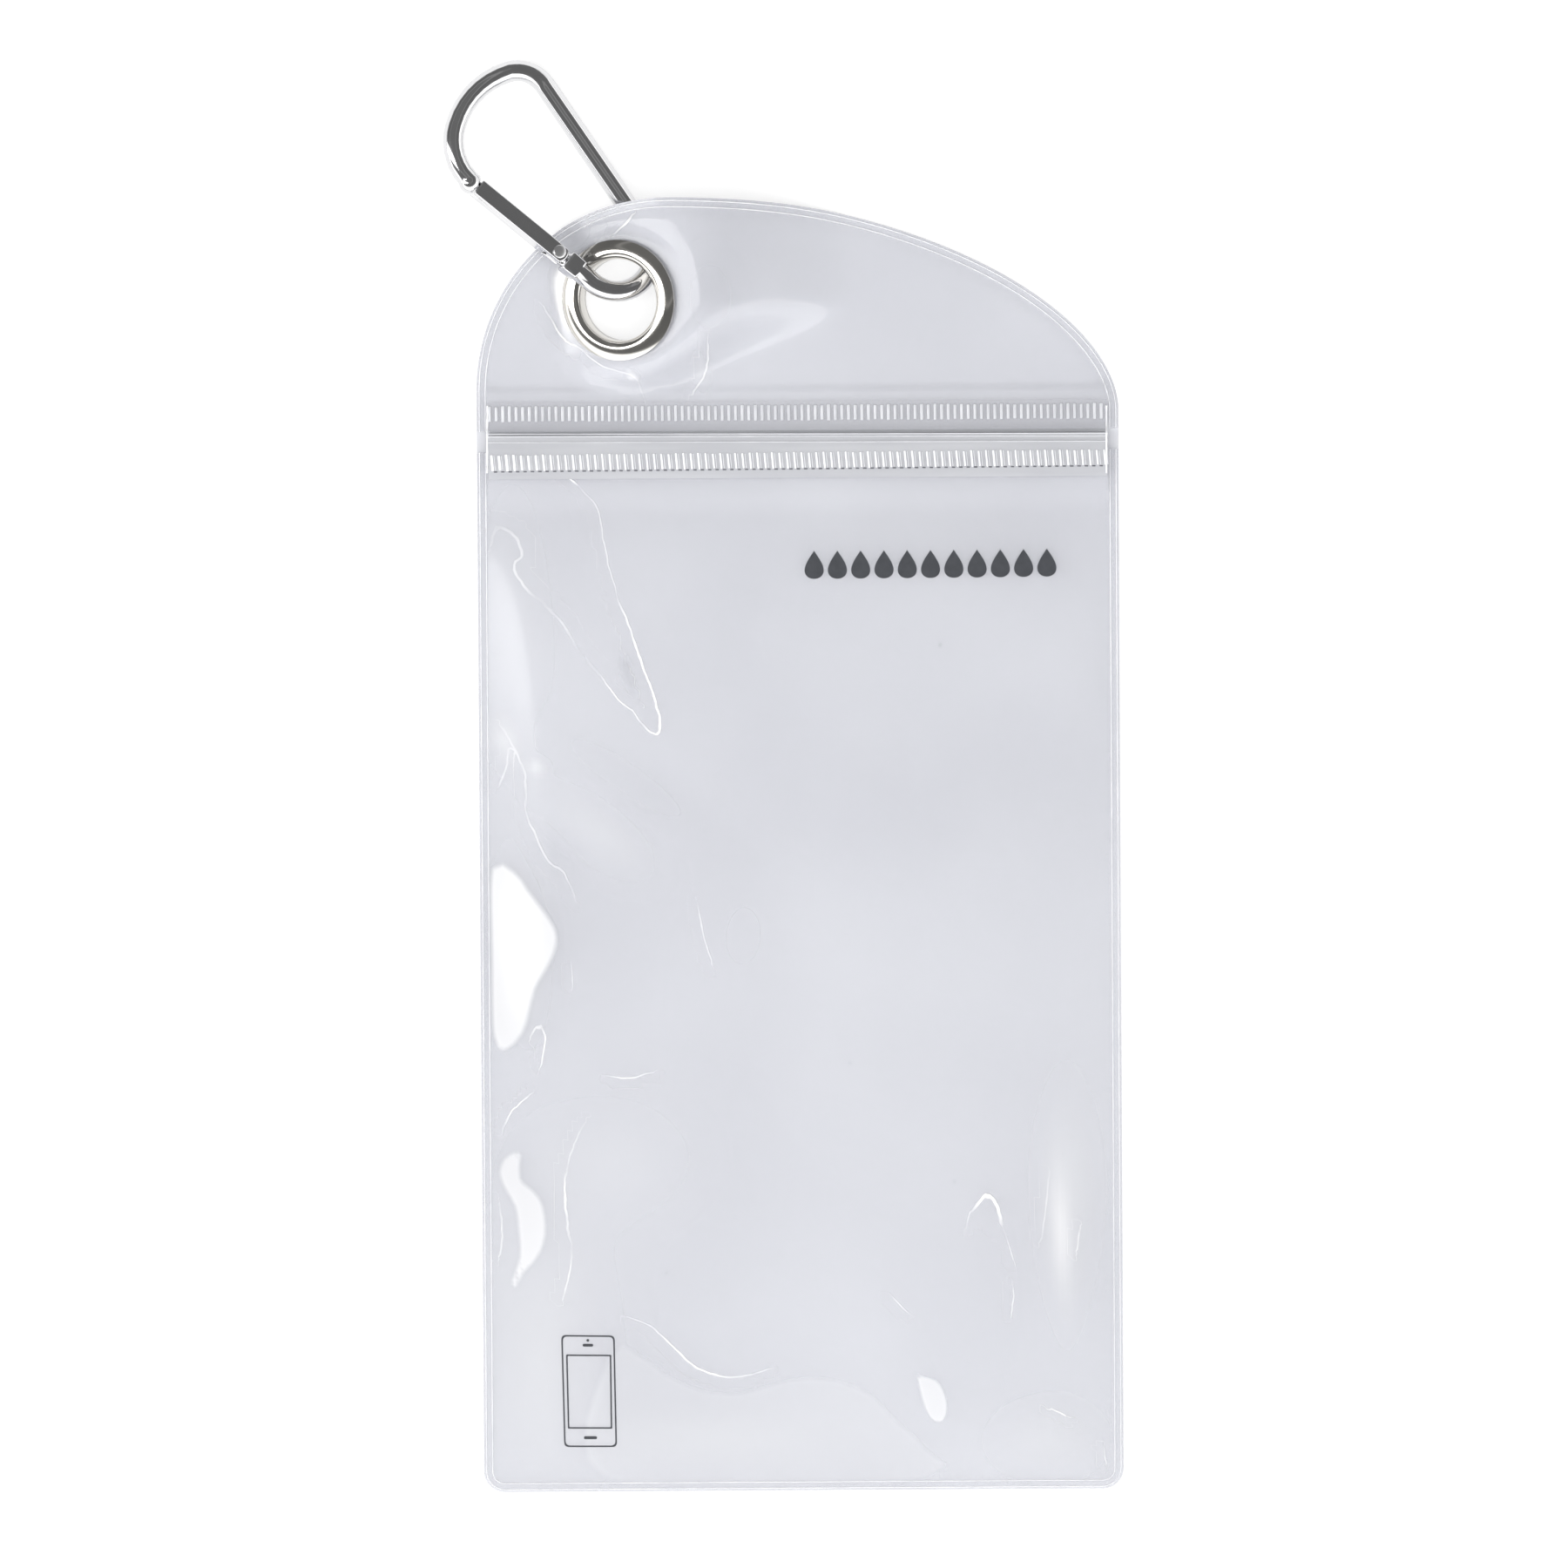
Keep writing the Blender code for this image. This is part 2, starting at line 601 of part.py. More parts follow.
class Bender:
    """Follows a wire as it is bent, and keeps the points of its centre line."""

    def __init__(self, x=0.0, y=0.0, heading=0.0):
        self.x, self.y, self.heading = x, y, heading
        self.points = [(x, y, 0.0)]

    def straight(self, length):
        self.x += length * math.cos(self.heading)
        self.y += length * math.sin(self.heading)
        self.points.append((self.x, self.y, 0.0))

    def bend(self, radius, degrees):
        """Turn to the left on an arc, or to the right if degrees is negative."""
        side = math.copysign(1, degrees)
        cx = self.x - side * radius * math.sin(self.heading)
        cy = self.y + side * radius * math.cos(self.heading)
        steps = max(2, math.ceil(abs(degrees) / BEND_STEP))
        for _ in range(steps):
            self.heading += math.radians(degrees) / steps
            self.x = cx + side * radius * math.sin(self.heading)
            self.y = cy - side * radius * math.cos(self.heading)
            self.points.append((self.x, self.y, 0.0))


def narrow_run():
    """From the spine round the narrow end to the hinge block."""
    run = Bender(heading=math.pi)
    run.bend(NARROW_BEND_RADIUS, -90)
    run.bend(NARROW_TOP_RADIUS, -(90 - math.degrees(GATE_ANGLE)))
    run.straight(LEAD)
    return run


def wide_run():
    """From the narrow end along the spine and round the wide end to the nose."""
    run = Bender()
    run.straight(SPINE_LENGTH)
    for radius, degrees in WIDE_BENDS:
        run.bend(radius, degrees)
    return run


def pivot_point():
    run = narrow_run()
    reach = HINGE_BLOCK + GAP + HEEL_RADIUS
    return Vector((run.x + reach * math.cos(GATE_ANGLE), run.y + reach * math.sin(GATE_ANGLE), 0))


def nose_distance():
    """From the pivot to the flat face of the nose cap, along the gate."""
    tip = wide_run()
    offset = Vector((tip.x, tip.y, 0)) - pivot_point()
    along = Vector((math.cos(GATE_ANGLE), math.sin(GATE_ANGLE), 0))
    return offset.dot(along) - NOSE_CAP_LENGTH / 2


def box_mesh(name, x, y, z):
    """A box between three pairs of limits."""
    bm = bmesh.new()
    bmesh.ops.create_cube(bm, size=1)
    middle = Vector([(a + b) / 2 for a, b in (x, y, z)])
    size = [abs(b - a) for a, b in (x, y, z)]
    bmesh.ops.scale(bm, vec=size, verts=bm.verts)
    bmesh.ops.translate(bm, vec=middle, verts=bm.verts)
    mesh = bpy.data.meshes.new(name)
    bm.to_mesh(mesh)
    bm.free()
    return mesh


def rod_mesh(name, radius, length, sides, matrix=Matrix()):
    """A cylinder about Z = 0, then moved by the matrix."""
    bm = bmesh.new()
    bmesh.ops.create_cone(bm, cap_ends=True, segments=sides, radius1=radius, radius2=radius,
                          depth=length, matrix=matrix)
    mesh = bpy.data.meshes.new(name)
    bm.to_mesh(mesh)
    bm.free()
    return mesh


def tube_mesh(name, points, radius, resolution):
    curve = bpy.data.curves.new(name, "CURVE")
    curve.dimensions = "3D"
    curve.bevel_depth = radius
    curve.bevel_resolution = resolution
    curve.use_fill_caps = True
    spline = curve.splines.new("POLY")
    spline.points.add(len(points) - 1)
    for point, place in zip(spline.points, points):
        point.co = (*place, 1)
    return curve_to_mesh(name, curve)


def make_clip_body(clip, hinge, material):
    """Bent wire with a squared block and tang at the hinge, and a cap and tongue at the nose."""
    narrow, wide = narrow_run(), wide_run()
    overrun = HINGE_BLOCK / 2
    narrow.straight(overrun)
    path = list(reversed(narrow.points)) + wide.points[1:]
    body = add_object("clip_body", tube_mesh("clip_body", path, WIRE / 2, WIRE_SIDES_RESOLUTION),
                      material, clip, smooth=40)
    half = HINGE_BLOCK_WIDTH / 2
    face = -HEEL_RADIUS - GAP
    block = add_tool("hinge_block", box_mesh("hinge_block", (face - HINGE_BLOCK, face),
                                             (-half, half), (-half, half)), hinge)
    bevel(block, GATE_EDGE)
    boolean(body, block, "UNION")
    tang_half = TANG_THICKNESS / 2
    tang = add_tool("tang", box_mesh("tang", (face - OVERLAP, TANG_REACH),
                                     (-TANG_WIDTH / 2, TANG_WIDTH / 2), (-tang_half, tang_half)), hinge)
    boolean(body, tang, "UNION")
    pin = add_tool("tang_hole", rod_mesh("tang_hole", PIVOT_RADIUS + PIVOT_CLEARANCE,
                                         4 * TANG_THICKNESS, PIN_SIDES), hinge)
    boolean(body, pin, "DIFFERENCE")
    nose = nose_distance()
    cap = add_tool("nose_cap", nose_cap_mesh(), hinge)
    cap.location = (nose, 0, 0)
    boolean(body, cap, "UNION")
    side = NOSE_TONGUE_THICKNESS / 2
    low = -NOSE_TONGUE_WIDTH / 2 - GAP
    tongue = add_tool("nose_tongue", box_mesh("nose_tongue", (nose - NOSE_TONGUE, nose + OVERLAP),
                                              (low, low + NOSE_TONGUE_WIDTH), (-side, side)), hinge)
    boolean(body, tongue, "UNION")


def nose_cap_mesh():
    """A ball with a flat face towards the gate."""
    bm = bmesh.new()
    bmesh.ops.create_uvsphere(bm, u_segments=PIN_SIDES, v_segments=PIN_SIDES // 2, radius=NOSE_CAP_RADIUS,
                              matrix=Matrix.Translation((NOSE_CAP_LENGTH, 0, 0))
                              @ Matrix.Rotation(math.pi / 2, 4, "Y"))
    cut = bmesh.ops.bisect_plane(bm, geom=bm.verts[:] + bm.edges[:] + bm.faces[:],
                                 plane_co=(0, 0, 0), plane_no=(-1, 0, 0), clear_outer=True)
    rim = [e for e in cut["geom_cut"] if isinstance(e, bmesh.types.BMEdge)]
    bmesh.ops.contextual_create(bm, geom=rim)
    bmesh.ops.recalc_face_normals(bm, faces=bm.faces)
    mesh = bpy.data.meshes.new("nose_cap")
    bm.to_mesh(mesh)
    bm.free()
    return mesh


def bevel(obj, width):
    modifier = obj.modifiers.new("Rounded edges", "BEVEL")
    modifier.width = width
    modifier.segments = 3
    modifier.limit_method = "ANGLE"
    modifier.angle_limit = math.radians(60)


def gate_outline(reach):
    """Plan of the gate: a straight bar whose heel is rounded about the pivot."""
    half = GATE_WIDTH / 2
    corner = math.degrees(math.asin(half / HEEL_RADIUS))
    heel = arc_points((0, 0), HEEL_RADIUS, 180 - corner, 180 + corner, 8)
    return heel + [(reach, -half), (reach, half)]


def make_gate(hinge, material):
    reach = nose_distance() - GAP
    gate = add_object("clip_gate", plate("clip_gate", gate_outline(reach), GATE_THICKNESS),
                      material, hinge, smooth=40)
    bevel(gate, GATE_EDGE)
    far = 4 * GATE_WIDTH
    slot = TANG_THICKNESS / 2 + FORK_CLEARANCE
    fork = add_tool("fork_slot", box_mesh("fork_slot", (-far, FORK_DEPTH), (-far, far), (-slot, slot)),
                    hinge)
    boolean(gate, fork, "DIFFERENCE")
    hole = add_tool("gate_hole", rod_mesh("gate_hole", PIVOT_RADIUS + PIVOT_CLEARANCE, far, PIN_SIDES),
                    hinge)
    boolean(gate, hole, "DIFFERENCE")
    start = FORK_DEPTH - OVERLAP
    length = BORE_DEPTH + OVERLAP
    along = Matrix.Translation((start + length / 2, 0, 0)) @ Matrix.Rotation(math.pi / 2, 4, "Y")
    bore = add_tool("spring_bore", rod_mesh("spring_bore", BORE_RADIUS, length, PIN_SIDES, along), hinge)
    boolean(gate, bore, "DIFFERENCE")
    low = -NOSE_TONGUE_WIDTH / 2 - 2 * GAP
    side = NOSE_TONGUE_THICKNESS / 2 + FORK_CLEARANCE
    catch = add_tool("nose_slot", box_mesh("nose_slot", (nose_distance() - NOSE_TONGUE - GAP, far * 4),
                                           (low, far), (-side, side)), hinge)
    boolean(gate, catch, "DIFFERENCE")


def make_pivot(hinge, material):
    """A rivet with a domed head on each cheek of the gate."""
    cheek = GATE_THICKNESS / 2 + PIVOT_HEAD_GAP
    dome = [(PIVOT_HEAD_RADIUS * math.cos(a), cheek + PIVOT_HEAD_HEIGHT * (0.35 + 0.65 * math.sin(a)))
            for a in (math.radians(90 * i / 5) for i in range(5, -1, -1))]
    upper = dome + [(PIVOT_HEAD_RADIUS, cheek), (PIVOT_RADIUS, cheek)]
    lower = [(x, -z) for x, z in reversed(upper)]
    profile = [(max(x, 0.0), z) for x, z in upper + lower]
    profile[0] = (0.0, profile[0][1])
    profile[-1] = (0.0, profile[-1][1])
    turned("gate_pivot", profile, PIN_SIDES, material, hinge)


def make_spring(hinge, material):
    """A coil spring in the gate's bore, pushing a small plunger against the tang."""
    radius = BORE_RADIUS - BORE_CLEARANCE
    tip = TANG_REACH + GAP
    back = tip + PLUNGER_LENGTH
    dome = [(radius * math.sin(a), tip + radius / 2 * (1 - math.cos(a)))
            for a in (math.radians(90 * i / 4) for i in range(5))]
    profile = list(reversed(dome + [(radius, back), (0.0, back)]))
    lengthways = Matrix.Rotation(math.pi / 2, 4, "Y")
    turned("gate_plunger", profile, PIN_SIDES, material, hinge, lengthways)
    start = back + GAP + SPRING_WIRE / 2
    end = FORK_DEPTH + BORE_DEPTH - GAP - SPRING_WIRE / 2
    coil = radius - SPRING_WIRE / 2
    steps = SPRING_TURNS * 10
    points = []
    for i in range(steps + 1):
        turn = math.tau * SPRING_TURNS * i / steps
        points.append((start + (end - start) * i / steps, coil * math.cos(turn), coil * math.sin(turn)))
    add_object("gate_spring", tube_mesh("gate_spring", points, SPRING_WIRE / 2, 1), material, hinge,
               smooth=60)


def make_clip(materials):
    swing = add_empty("clip_swing", Matrix.Translation((EYELET_X, EYELET_Y, 0)))
    across = Matrix.Rotation(CLIP_HEADING, 4, "Z") @ Matrix.Rotation(CLIP_TILT, 4, "X")
    place = Matrix.Translation((CLIP_X, CLIP_Y, WIRE / 2)) @ across
    clip = add_empty("clip_frame", place, swing)
    turn = Matrix.Translation(pivot_point()) @ Matrix.Rotation(GATE_ANGLE, 4, "Z")
    hinge = add_empty("gate_hinge", turn, clip)
    make_clip_body(clip, hinge, materials["steel"])
    make_gate(hinge, materials["steel"])
    make_pivot(hinge, materials["steel"])
    make_spring(hinge, materials["spring"])


clear_scene()
parts = new_collection("phone_pouch")
cutters = new_collection("phone_pouch_cutters")
finishes = {
    "milky": new_material("milky film", (0.80, 0.81, 0.85), 0.35, alpha=0.9),
    "clear": new_material("clear film", (0.86, 0.88, 0.92), 0.12, alpha=0.25),
    "zip": new_material("zip strip", (0.86, 0.87, 0.90), 0.3, alpha=0.6),
    "nickel": new_material("nickel", (0.66, 0.64, 0.61), 0.18, 1.0),
    "steel": new_material("polished steel", (0.62, 0.62, 0.63), 0.15, 1.0),
    "spring": new_material("spring steel", (0.45, 0.45, 0.47), 0.3, 1.0),
}
make_rear_panel(finishes["milky"])
make_flap_layer(finishes["clear"])
make_front_panel(finishes["clear"])
make_zip_half("zip_groove_strip", groove_profile(), finishes["zip"])
make_zip_half("zip_rib_strip", rib_profile(), finishes["zip"])
make_eyelet(finishes)
make_clip(finishes)
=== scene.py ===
"""Looks of the phone pouch: milky and clear film, press-seal zip, eyelet and snap hook."""
import json
import math

import bpy
import bmesh
import numpy as np
from mathutils import Matrix, Vector, geometry


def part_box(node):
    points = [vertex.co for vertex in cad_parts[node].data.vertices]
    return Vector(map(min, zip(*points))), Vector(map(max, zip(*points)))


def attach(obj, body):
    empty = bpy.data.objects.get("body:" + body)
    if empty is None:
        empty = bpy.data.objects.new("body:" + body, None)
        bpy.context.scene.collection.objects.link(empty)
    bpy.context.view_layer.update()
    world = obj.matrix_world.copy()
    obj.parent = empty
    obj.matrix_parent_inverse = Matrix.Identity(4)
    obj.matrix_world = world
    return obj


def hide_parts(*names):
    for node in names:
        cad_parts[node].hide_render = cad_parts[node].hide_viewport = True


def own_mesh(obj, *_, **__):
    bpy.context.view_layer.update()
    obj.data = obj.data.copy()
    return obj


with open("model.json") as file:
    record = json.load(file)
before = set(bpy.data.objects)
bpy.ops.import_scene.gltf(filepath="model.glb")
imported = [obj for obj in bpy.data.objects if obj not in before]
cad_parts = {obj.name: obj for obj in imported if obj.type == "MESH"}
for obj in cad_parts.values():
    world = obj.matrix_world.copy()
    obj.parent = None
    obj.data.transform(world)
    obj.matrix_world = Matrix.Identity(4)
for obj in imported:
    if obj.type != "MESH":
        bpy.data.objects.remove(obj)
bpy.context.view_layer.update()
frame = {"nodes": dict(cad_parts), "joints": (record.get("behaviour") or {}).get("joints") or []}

MM = 0.001
PIXEL = 0.15 * MM                 # one pixel of the photograph on the pouch
AXIS_PX, AXIS_PY = 918.0, 967.5   # the pouch's middle in the photograph
LEAN = 0.0061                     # how far it is turned there, in radians
CAMERA_TILT = math.radians(5.0)

# The pouch, as the solids have it
HALF_WIDTH = 55.0 * MM
TOP_Y = 111.7 * MM
BOTTOM_Y = -TOP_Y
BOTTOM_CORNER = 3.6 * MM
LEFT_SHOULDER = 33.6 * MM
RIGHT_DROP = 37.0 * MM
RIGHT_POWER = 1.8
CROWN_X = -19.5 * MM
FILM = 0.3 * MM
GAP = 0.3 * MM
LAYER = FILM + GAP
RIM = 1.6 * MM
RIM_STEP = 0.25 * MM
EASE = 1.6 * MM
ZIP_Y = 69.4 * MM
ZIP_BASE = 0.4 * MM
TRACK_HALF = 1.2 * MM
UPPER_FLANGE = 6.8 * MM
LOWER_FLANGE = 6.3 * MM
ZIP_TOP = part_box("zip_rib_strip")[1].z
ZIP_FRONT_Z = ZIP_TOP - ZIP_BASE
ZIP_END = 53.0 * MM
FLAP_EDGE_Y = ZIP_Y + TRACK_HALF + 0.6 * MM
PANEL_EDGE_Y = ZIP_Y - TRACK_HALF - 0.6 * MM
EYELET_X, EYELET_Y = -30.0 * MM, 94.05 * MM
EYELET_TILT = math.radians(22)
EYELET_Z = 4.378 * MM
EYELET_HOLE = 7.0 * MM
EYELET_FLANGE = 10.35 * MM
EYELET_SHEET = 0.3 * MM
EYELET_DOME = 1.15 * MM
EYELET_SEAT = 1.2 * MM
EYELET_CREST = 1.25 * MM     # from the hole's edge out to the top of the dome
EYELET_EDGE = 0.55 * MM      # how high the dome still is at its outer edge
EYELET_CURL = 0.75 * MM
NOSE_REACH = 19.28 * MM      # from the gate's pivot to the middle of the nose's ball
NOSE_RADIUS = 1.97 * MM
SPRING_END = 11.3 * MM       # from the gate's pivot to the far end of its spring
SPRING_LENGTH = 7.2 * MM
NOSE_FLAT = 1.11 * MM
FILM_HOLE = 7.6 * MM
FLAT_RADIUS = 10.85 * MM
HUMP_RIGHT, HUMP_LEFT = 30 * MM, 12 * MM    # how far out the film settles from the eyelet
HUMP_UP, HUMP_DOWN = 52 * MM, 6.2 * MM
HUMP_SOFT = 5.0 * MM
HUMP_EASE = 3.2 * MM
HOOK_ROOM = 1.025            # the shown rear film's height over the hook, to the solid's

# How the films are meshed
GRID = 0.8 * MM
REAR_GRID = 1.0 * MM
EDGE_INSETS = (0.5 * MM, 1.0 * MM, RIM, 2.0 * MM, 2.5 * MM, RIM + EASE)
EYELET_ROWS = (8.4 * MM, 9.4 * MM, 10.2 * MM, FLAT_RADIUS, FLAT_RADIUS + 0.7 * MM)
GRID_INSET = 3.4 * MM        # from the pouch's edge to where the even grid starts
ROW_END = 0.4 * MM           # how far rows keep from a straight cut

# What lies on the films
PILLOW = 4.5 * MM            # how high the pocket's film lies
FLAP_LEVEL = 2.0 * MM        # heights at which the photograph's points are placed
POCKET_LEVEL = 5.0 * MM
HANDSET_LEVEL = 2.4 * MM
DROP_LEVEL = 5.2 * MM
INK = 0.03 * MM
INK_STEP = 0.4 * MM          # between points along an inked edge
LIFT = 0.02 * MM             # how far ink stands off its film, and bars sink into theirs
RIDGE_STEPS = 120
BAR_SPREAD = 0.07            # how uneven the weld bars are
BAR_RUN = 0.09               # share of the extra width that each bar from the left loses


def from_photo(px, py, z=0.0):
    """A point of the photograph as X and Y on the pouch, at height z."""
    right, up = px - AXIS_PX, AXIS_PY - py
    return (right + LEAN * up) * PIXEL, (up - LEAN * right) * PIXEL + z * math.tan(CAMERA_TILT)


def ease(t):
    t = np.clip(t, 0.0, 1.0)
    return t * t * (3 - 2 * t)


# Outline

def arc(cx, cy, radius, start, end, count):
    angles = np.radians(np.linspace(start, end, count + 1))
    return np.stack([cx + radius * np.cos(angles), cy + radius * np.sin(angles)], axis=1)


def outline(inset, y_low=None, y_high=None, spacing=GRID):
    """The pouch's edge, moved in by inset, as a counter-clockwise loop of evenly spaced points.

    With y_low or y_high it is cut straight across there.
    """
    half = HALF_WIDTH - inset
    runs = []
    if y_low is None:
        r = BOTTOM_CORNER - inset
        low = BOTTOM_Y + inset
        runs.append(arc(-half + r, low + r, r, 180, 270, 8))
        runs.append(arc(half - r, low + r, r, 270, 360, 8))
    else:
        runs.append(np.array([(-half, y_low), (half, y_low)]))
    if y_high is None:
        theta = np.radians(np.linspace(0, 90, 61))
        base = TOP_Y - RIGHT_DROP
        x = CROWN_X + (HALF_WIDTH - CROWN_X) * np.cos(theta) ** (2 / RIGHT_POWER)
        y = base + RIGHT_DROP * np.sin(theta) ** (2 / RIGHT_POWER)
        along = np.gradient(np.stack([x, y], axis=1), axis=0)
        along /= np.linalg.norm(along, axis=1)[:, None]
        runs.append(np.stack([x - along[:, 1] * inset, y + along[:, 0] * inset], axis=1))
        runs.append(arc(-HALF_WIDTH + LEFT_SHOULDER, TOP_Y - LEFT_SHOULDER,
                        LEFT_SHOULDER - inset, 90, 180, 40))
    else:
        runs.append(np.array([(half, y_high), (-half, y_high)]))
    return resample(np.concatenate(runs), spacing)


def resample(loop, spacing):
    """Points around a loop, spacing apart but keeping its corners."""
    out = []
    for (ax, ay), (bx, by) in zip(loop, np.roll(loop, -1, axis=0)):
        length = math.hypot(bx - ax, by - ay)
        if length < 1e-7:
            continue
        count = max(1, round(length / spacing))
        if length < spacing * 0.6 and out and math.hypot(ax - out[-1][0], ay - out[-1][1]) < spacing * 0.3:
            continue
        out += [(ax + (bx - ax) * i / count, ay + (by - ay) * i / count) for i in range(count)]
    return np.array(out)


def edge_depth(x, y):
    """Distance in from the pouch's edge."""
    side = HALF_WIDTH - np.abs(x)
    lcx, lcy = -HALF_WIDTH + LEFT_SHOULDER, TOP_Y - LEFT_SHOULDER
    left = LEFT_SHOULDER - np.hypot(np.minimum(x - lcx, 0.0), np.maximum(y - lcy, 0.0))
    base = TOP_Y - RIGHT_DROP
    across = np.maximum(x - CROWN_X, 0.0) / (HALF_WIDTH - CROWN_X)
    up = np.maximum(y - base, 1e-9) / RIGHT_DROP
    level = np.maximum(across ** RIGHT_POWER + up ** RIGHT_POWER, 1e-12)
    slope = np.hypot(across ** (RIGHT_POWER - 1) / (HALF_WIDTH - CROWN_X),
                     up ** (RIGHT_POWER - 1) / RIGHT_DROP)
    right = (level ** (-1 / RIGHT_POWER) - 1) * level / np.maximum(slope, 1e-9)
    right = np.where(y > base, right, side)
    upper = np.minimum(side, np.where(x < CROWN_X, left, right))
    return np.minimum(upper, y - BOTTOM_Y)


# Heights of the films

def rear_height(x, y):
    """Underside of the rear film: flat, but carried up to the tilted eyelet and over the hook."""
    dx, dy = x - EYELET_X, y - EYELET_Y
    distance = np.maximum(np.hypot(dx, dy), 1e-9)
    beyond = np.maximum(np.abs(dx) - FLAT_RADIUS, 0.0)
    level = np.sign(dx) * (np.minimum(np.abs(dx), FLAT_RADIUS)
                           + HUMP_SOFT * np.tanh(beyond / HUMP_SOFT))
    settle = np.hypot(dx / np.where(dx > 0, HUMP_RIGHT, HUMP_LEFT),
                      dy / np.where(dy > 0, HUMP_UP, HUMP_DOWN)) / distance
    fade = 1 - ease((distance - FLAT_RADIUS) * settle)
    return np.maximum(EYELET_Z + math.tan(EYELET_TILT) * level, 0.0) * fade


def rear_film_height(x, y):
    """The rear film as it is shown: a hair higher over the hook, so that the hook swings clear of it."""
    return rear_height(x, y) * HOOK_ROOM


def loose(x, y):
    """0 where the eyelet pinches the films, 1 away from it."""
    return ease((np.hypot(x - EYELET_X, y - EYELET_Y) - FLAT_RADIUS) / HUMP_EASE)


def off_the_side(x):
    return ease((HALF_WIDTH - RIM - np.abs(x)) / (RIM / 4))


def flap_height(x, y):
    over_zip = ease((ZIP_Y + UPPER_FLANGE + 2 * EASE - y) / EASE)
    step = RIM_STEP * loose(x, y) * ease((edge_depth(x, y) - RIM) / EASE)
    lift = np.maximum(step, (ZIP_BASE + GAP) * over_zip * off_the_side(x))
    return rear_height(x, y) + LAYER + lift + flap_wrinkles(x, y)


def panel_height(x, y):
    """A low pillow with the dents and swells of film that lies loose."""
    flange_edge = ZIP_Y - LOWER_FLANGE
    low = BOTTOM_Y + RIM
    across = np.minimum(np.abs(x) / (HALF_WIDTH - RIM), 1.0)
    along = np.clip(np.abs(2 * (y - low) / (flange_edge - low) - 1), 0.0, 1.0)
    inside = (1 - across ** 4) * (1 - along ** 6)
    seat = (ZIP_FRONT_Z - GAP - FILM - LAYER) * ease(1 - (flange_edge - y) / LOWER_FLANGE)
    seat *= off_the_side(x)
    swell = inside * (PILLOW + panel_swells(x, y))
    return LAYER + np.maximum(swell, 0.0) + seat


# Swells: photograph point, half widths in pixels, turn in degrees, height in mm
PANEL_SWELLS = (
    (650, 1080, 44, 140, 4, 0.6),
    (640, 1400, 40, 100, -6, 0.5),
    (690, 720, 70, 170, 22, -0.5),
    (1215, 1380, 34, 130, 0, 0.45),
    (1130, 1480, 50, 110, 8, 0.35),
    (900, 900, 160, 110, -25, 0.35),
    (760, 1180, 100, 70, 35, -0.4),
    (960, 1250, 140, 90, 10, 0.25),
    (1060, 1590, 60, 50, 60, 0.35),
    (820, 1560, 110, 60, 20, -0.35),
    (1150, 780, 120, 90, 30, -0.3),
    (700, 1640, 90, 60, 0, 0.25),
)
FLAP_SWELLS = (
    (648, 372, 18, 60, -20, 0.35),
    (735, 432, 30, 16, 10, 0.3),
    (803, 408, 16, 44, 12, 0.25),
    (990, 340, 90, 50, 20, 0.2),
)


def swells(table, x, y):
    total = np.zeros_like(x)
    for px, py, wide, tall, turn, height in table:
        cx, cy = from_photo(px, py)
        c, s = math.cos(math.radians(turn)), math.sin(math.radians(turn))
        u = ((x - cx) * c + (y - cy) * s) / (wide * PIXEL)
        v = (-(x - cx) * s + (y - cy) * c) / (tall * PIXEL)
        total += height * MM * np.exp(-(u * u + v * v))
    return total


def panel_swells(x, y):
    broad = (0.16 * np.sin(x / (9.5 * MM) + 1.1 * np.sin(y / (23 * MM)))
             * np.sin(y / (14 * MM) + 0.8 * np.sin(x / (17 * MM))))
    return swells(PANEL_SWELLS, x, y) + broad * MM


def flap_wrinkles(x, y):
    inside = ease((edge_depth(x, y) - RIM - EASE / 2) / (3 * EASE)) * loose(x, y)
    inside = inside * ease((y - (ZIP_Y + UPPER_FLANGE)) / (2 * EASE))
    return inside * np.maximum(swells(FLAP_SWELLS, x, y), -0.1 * MM)


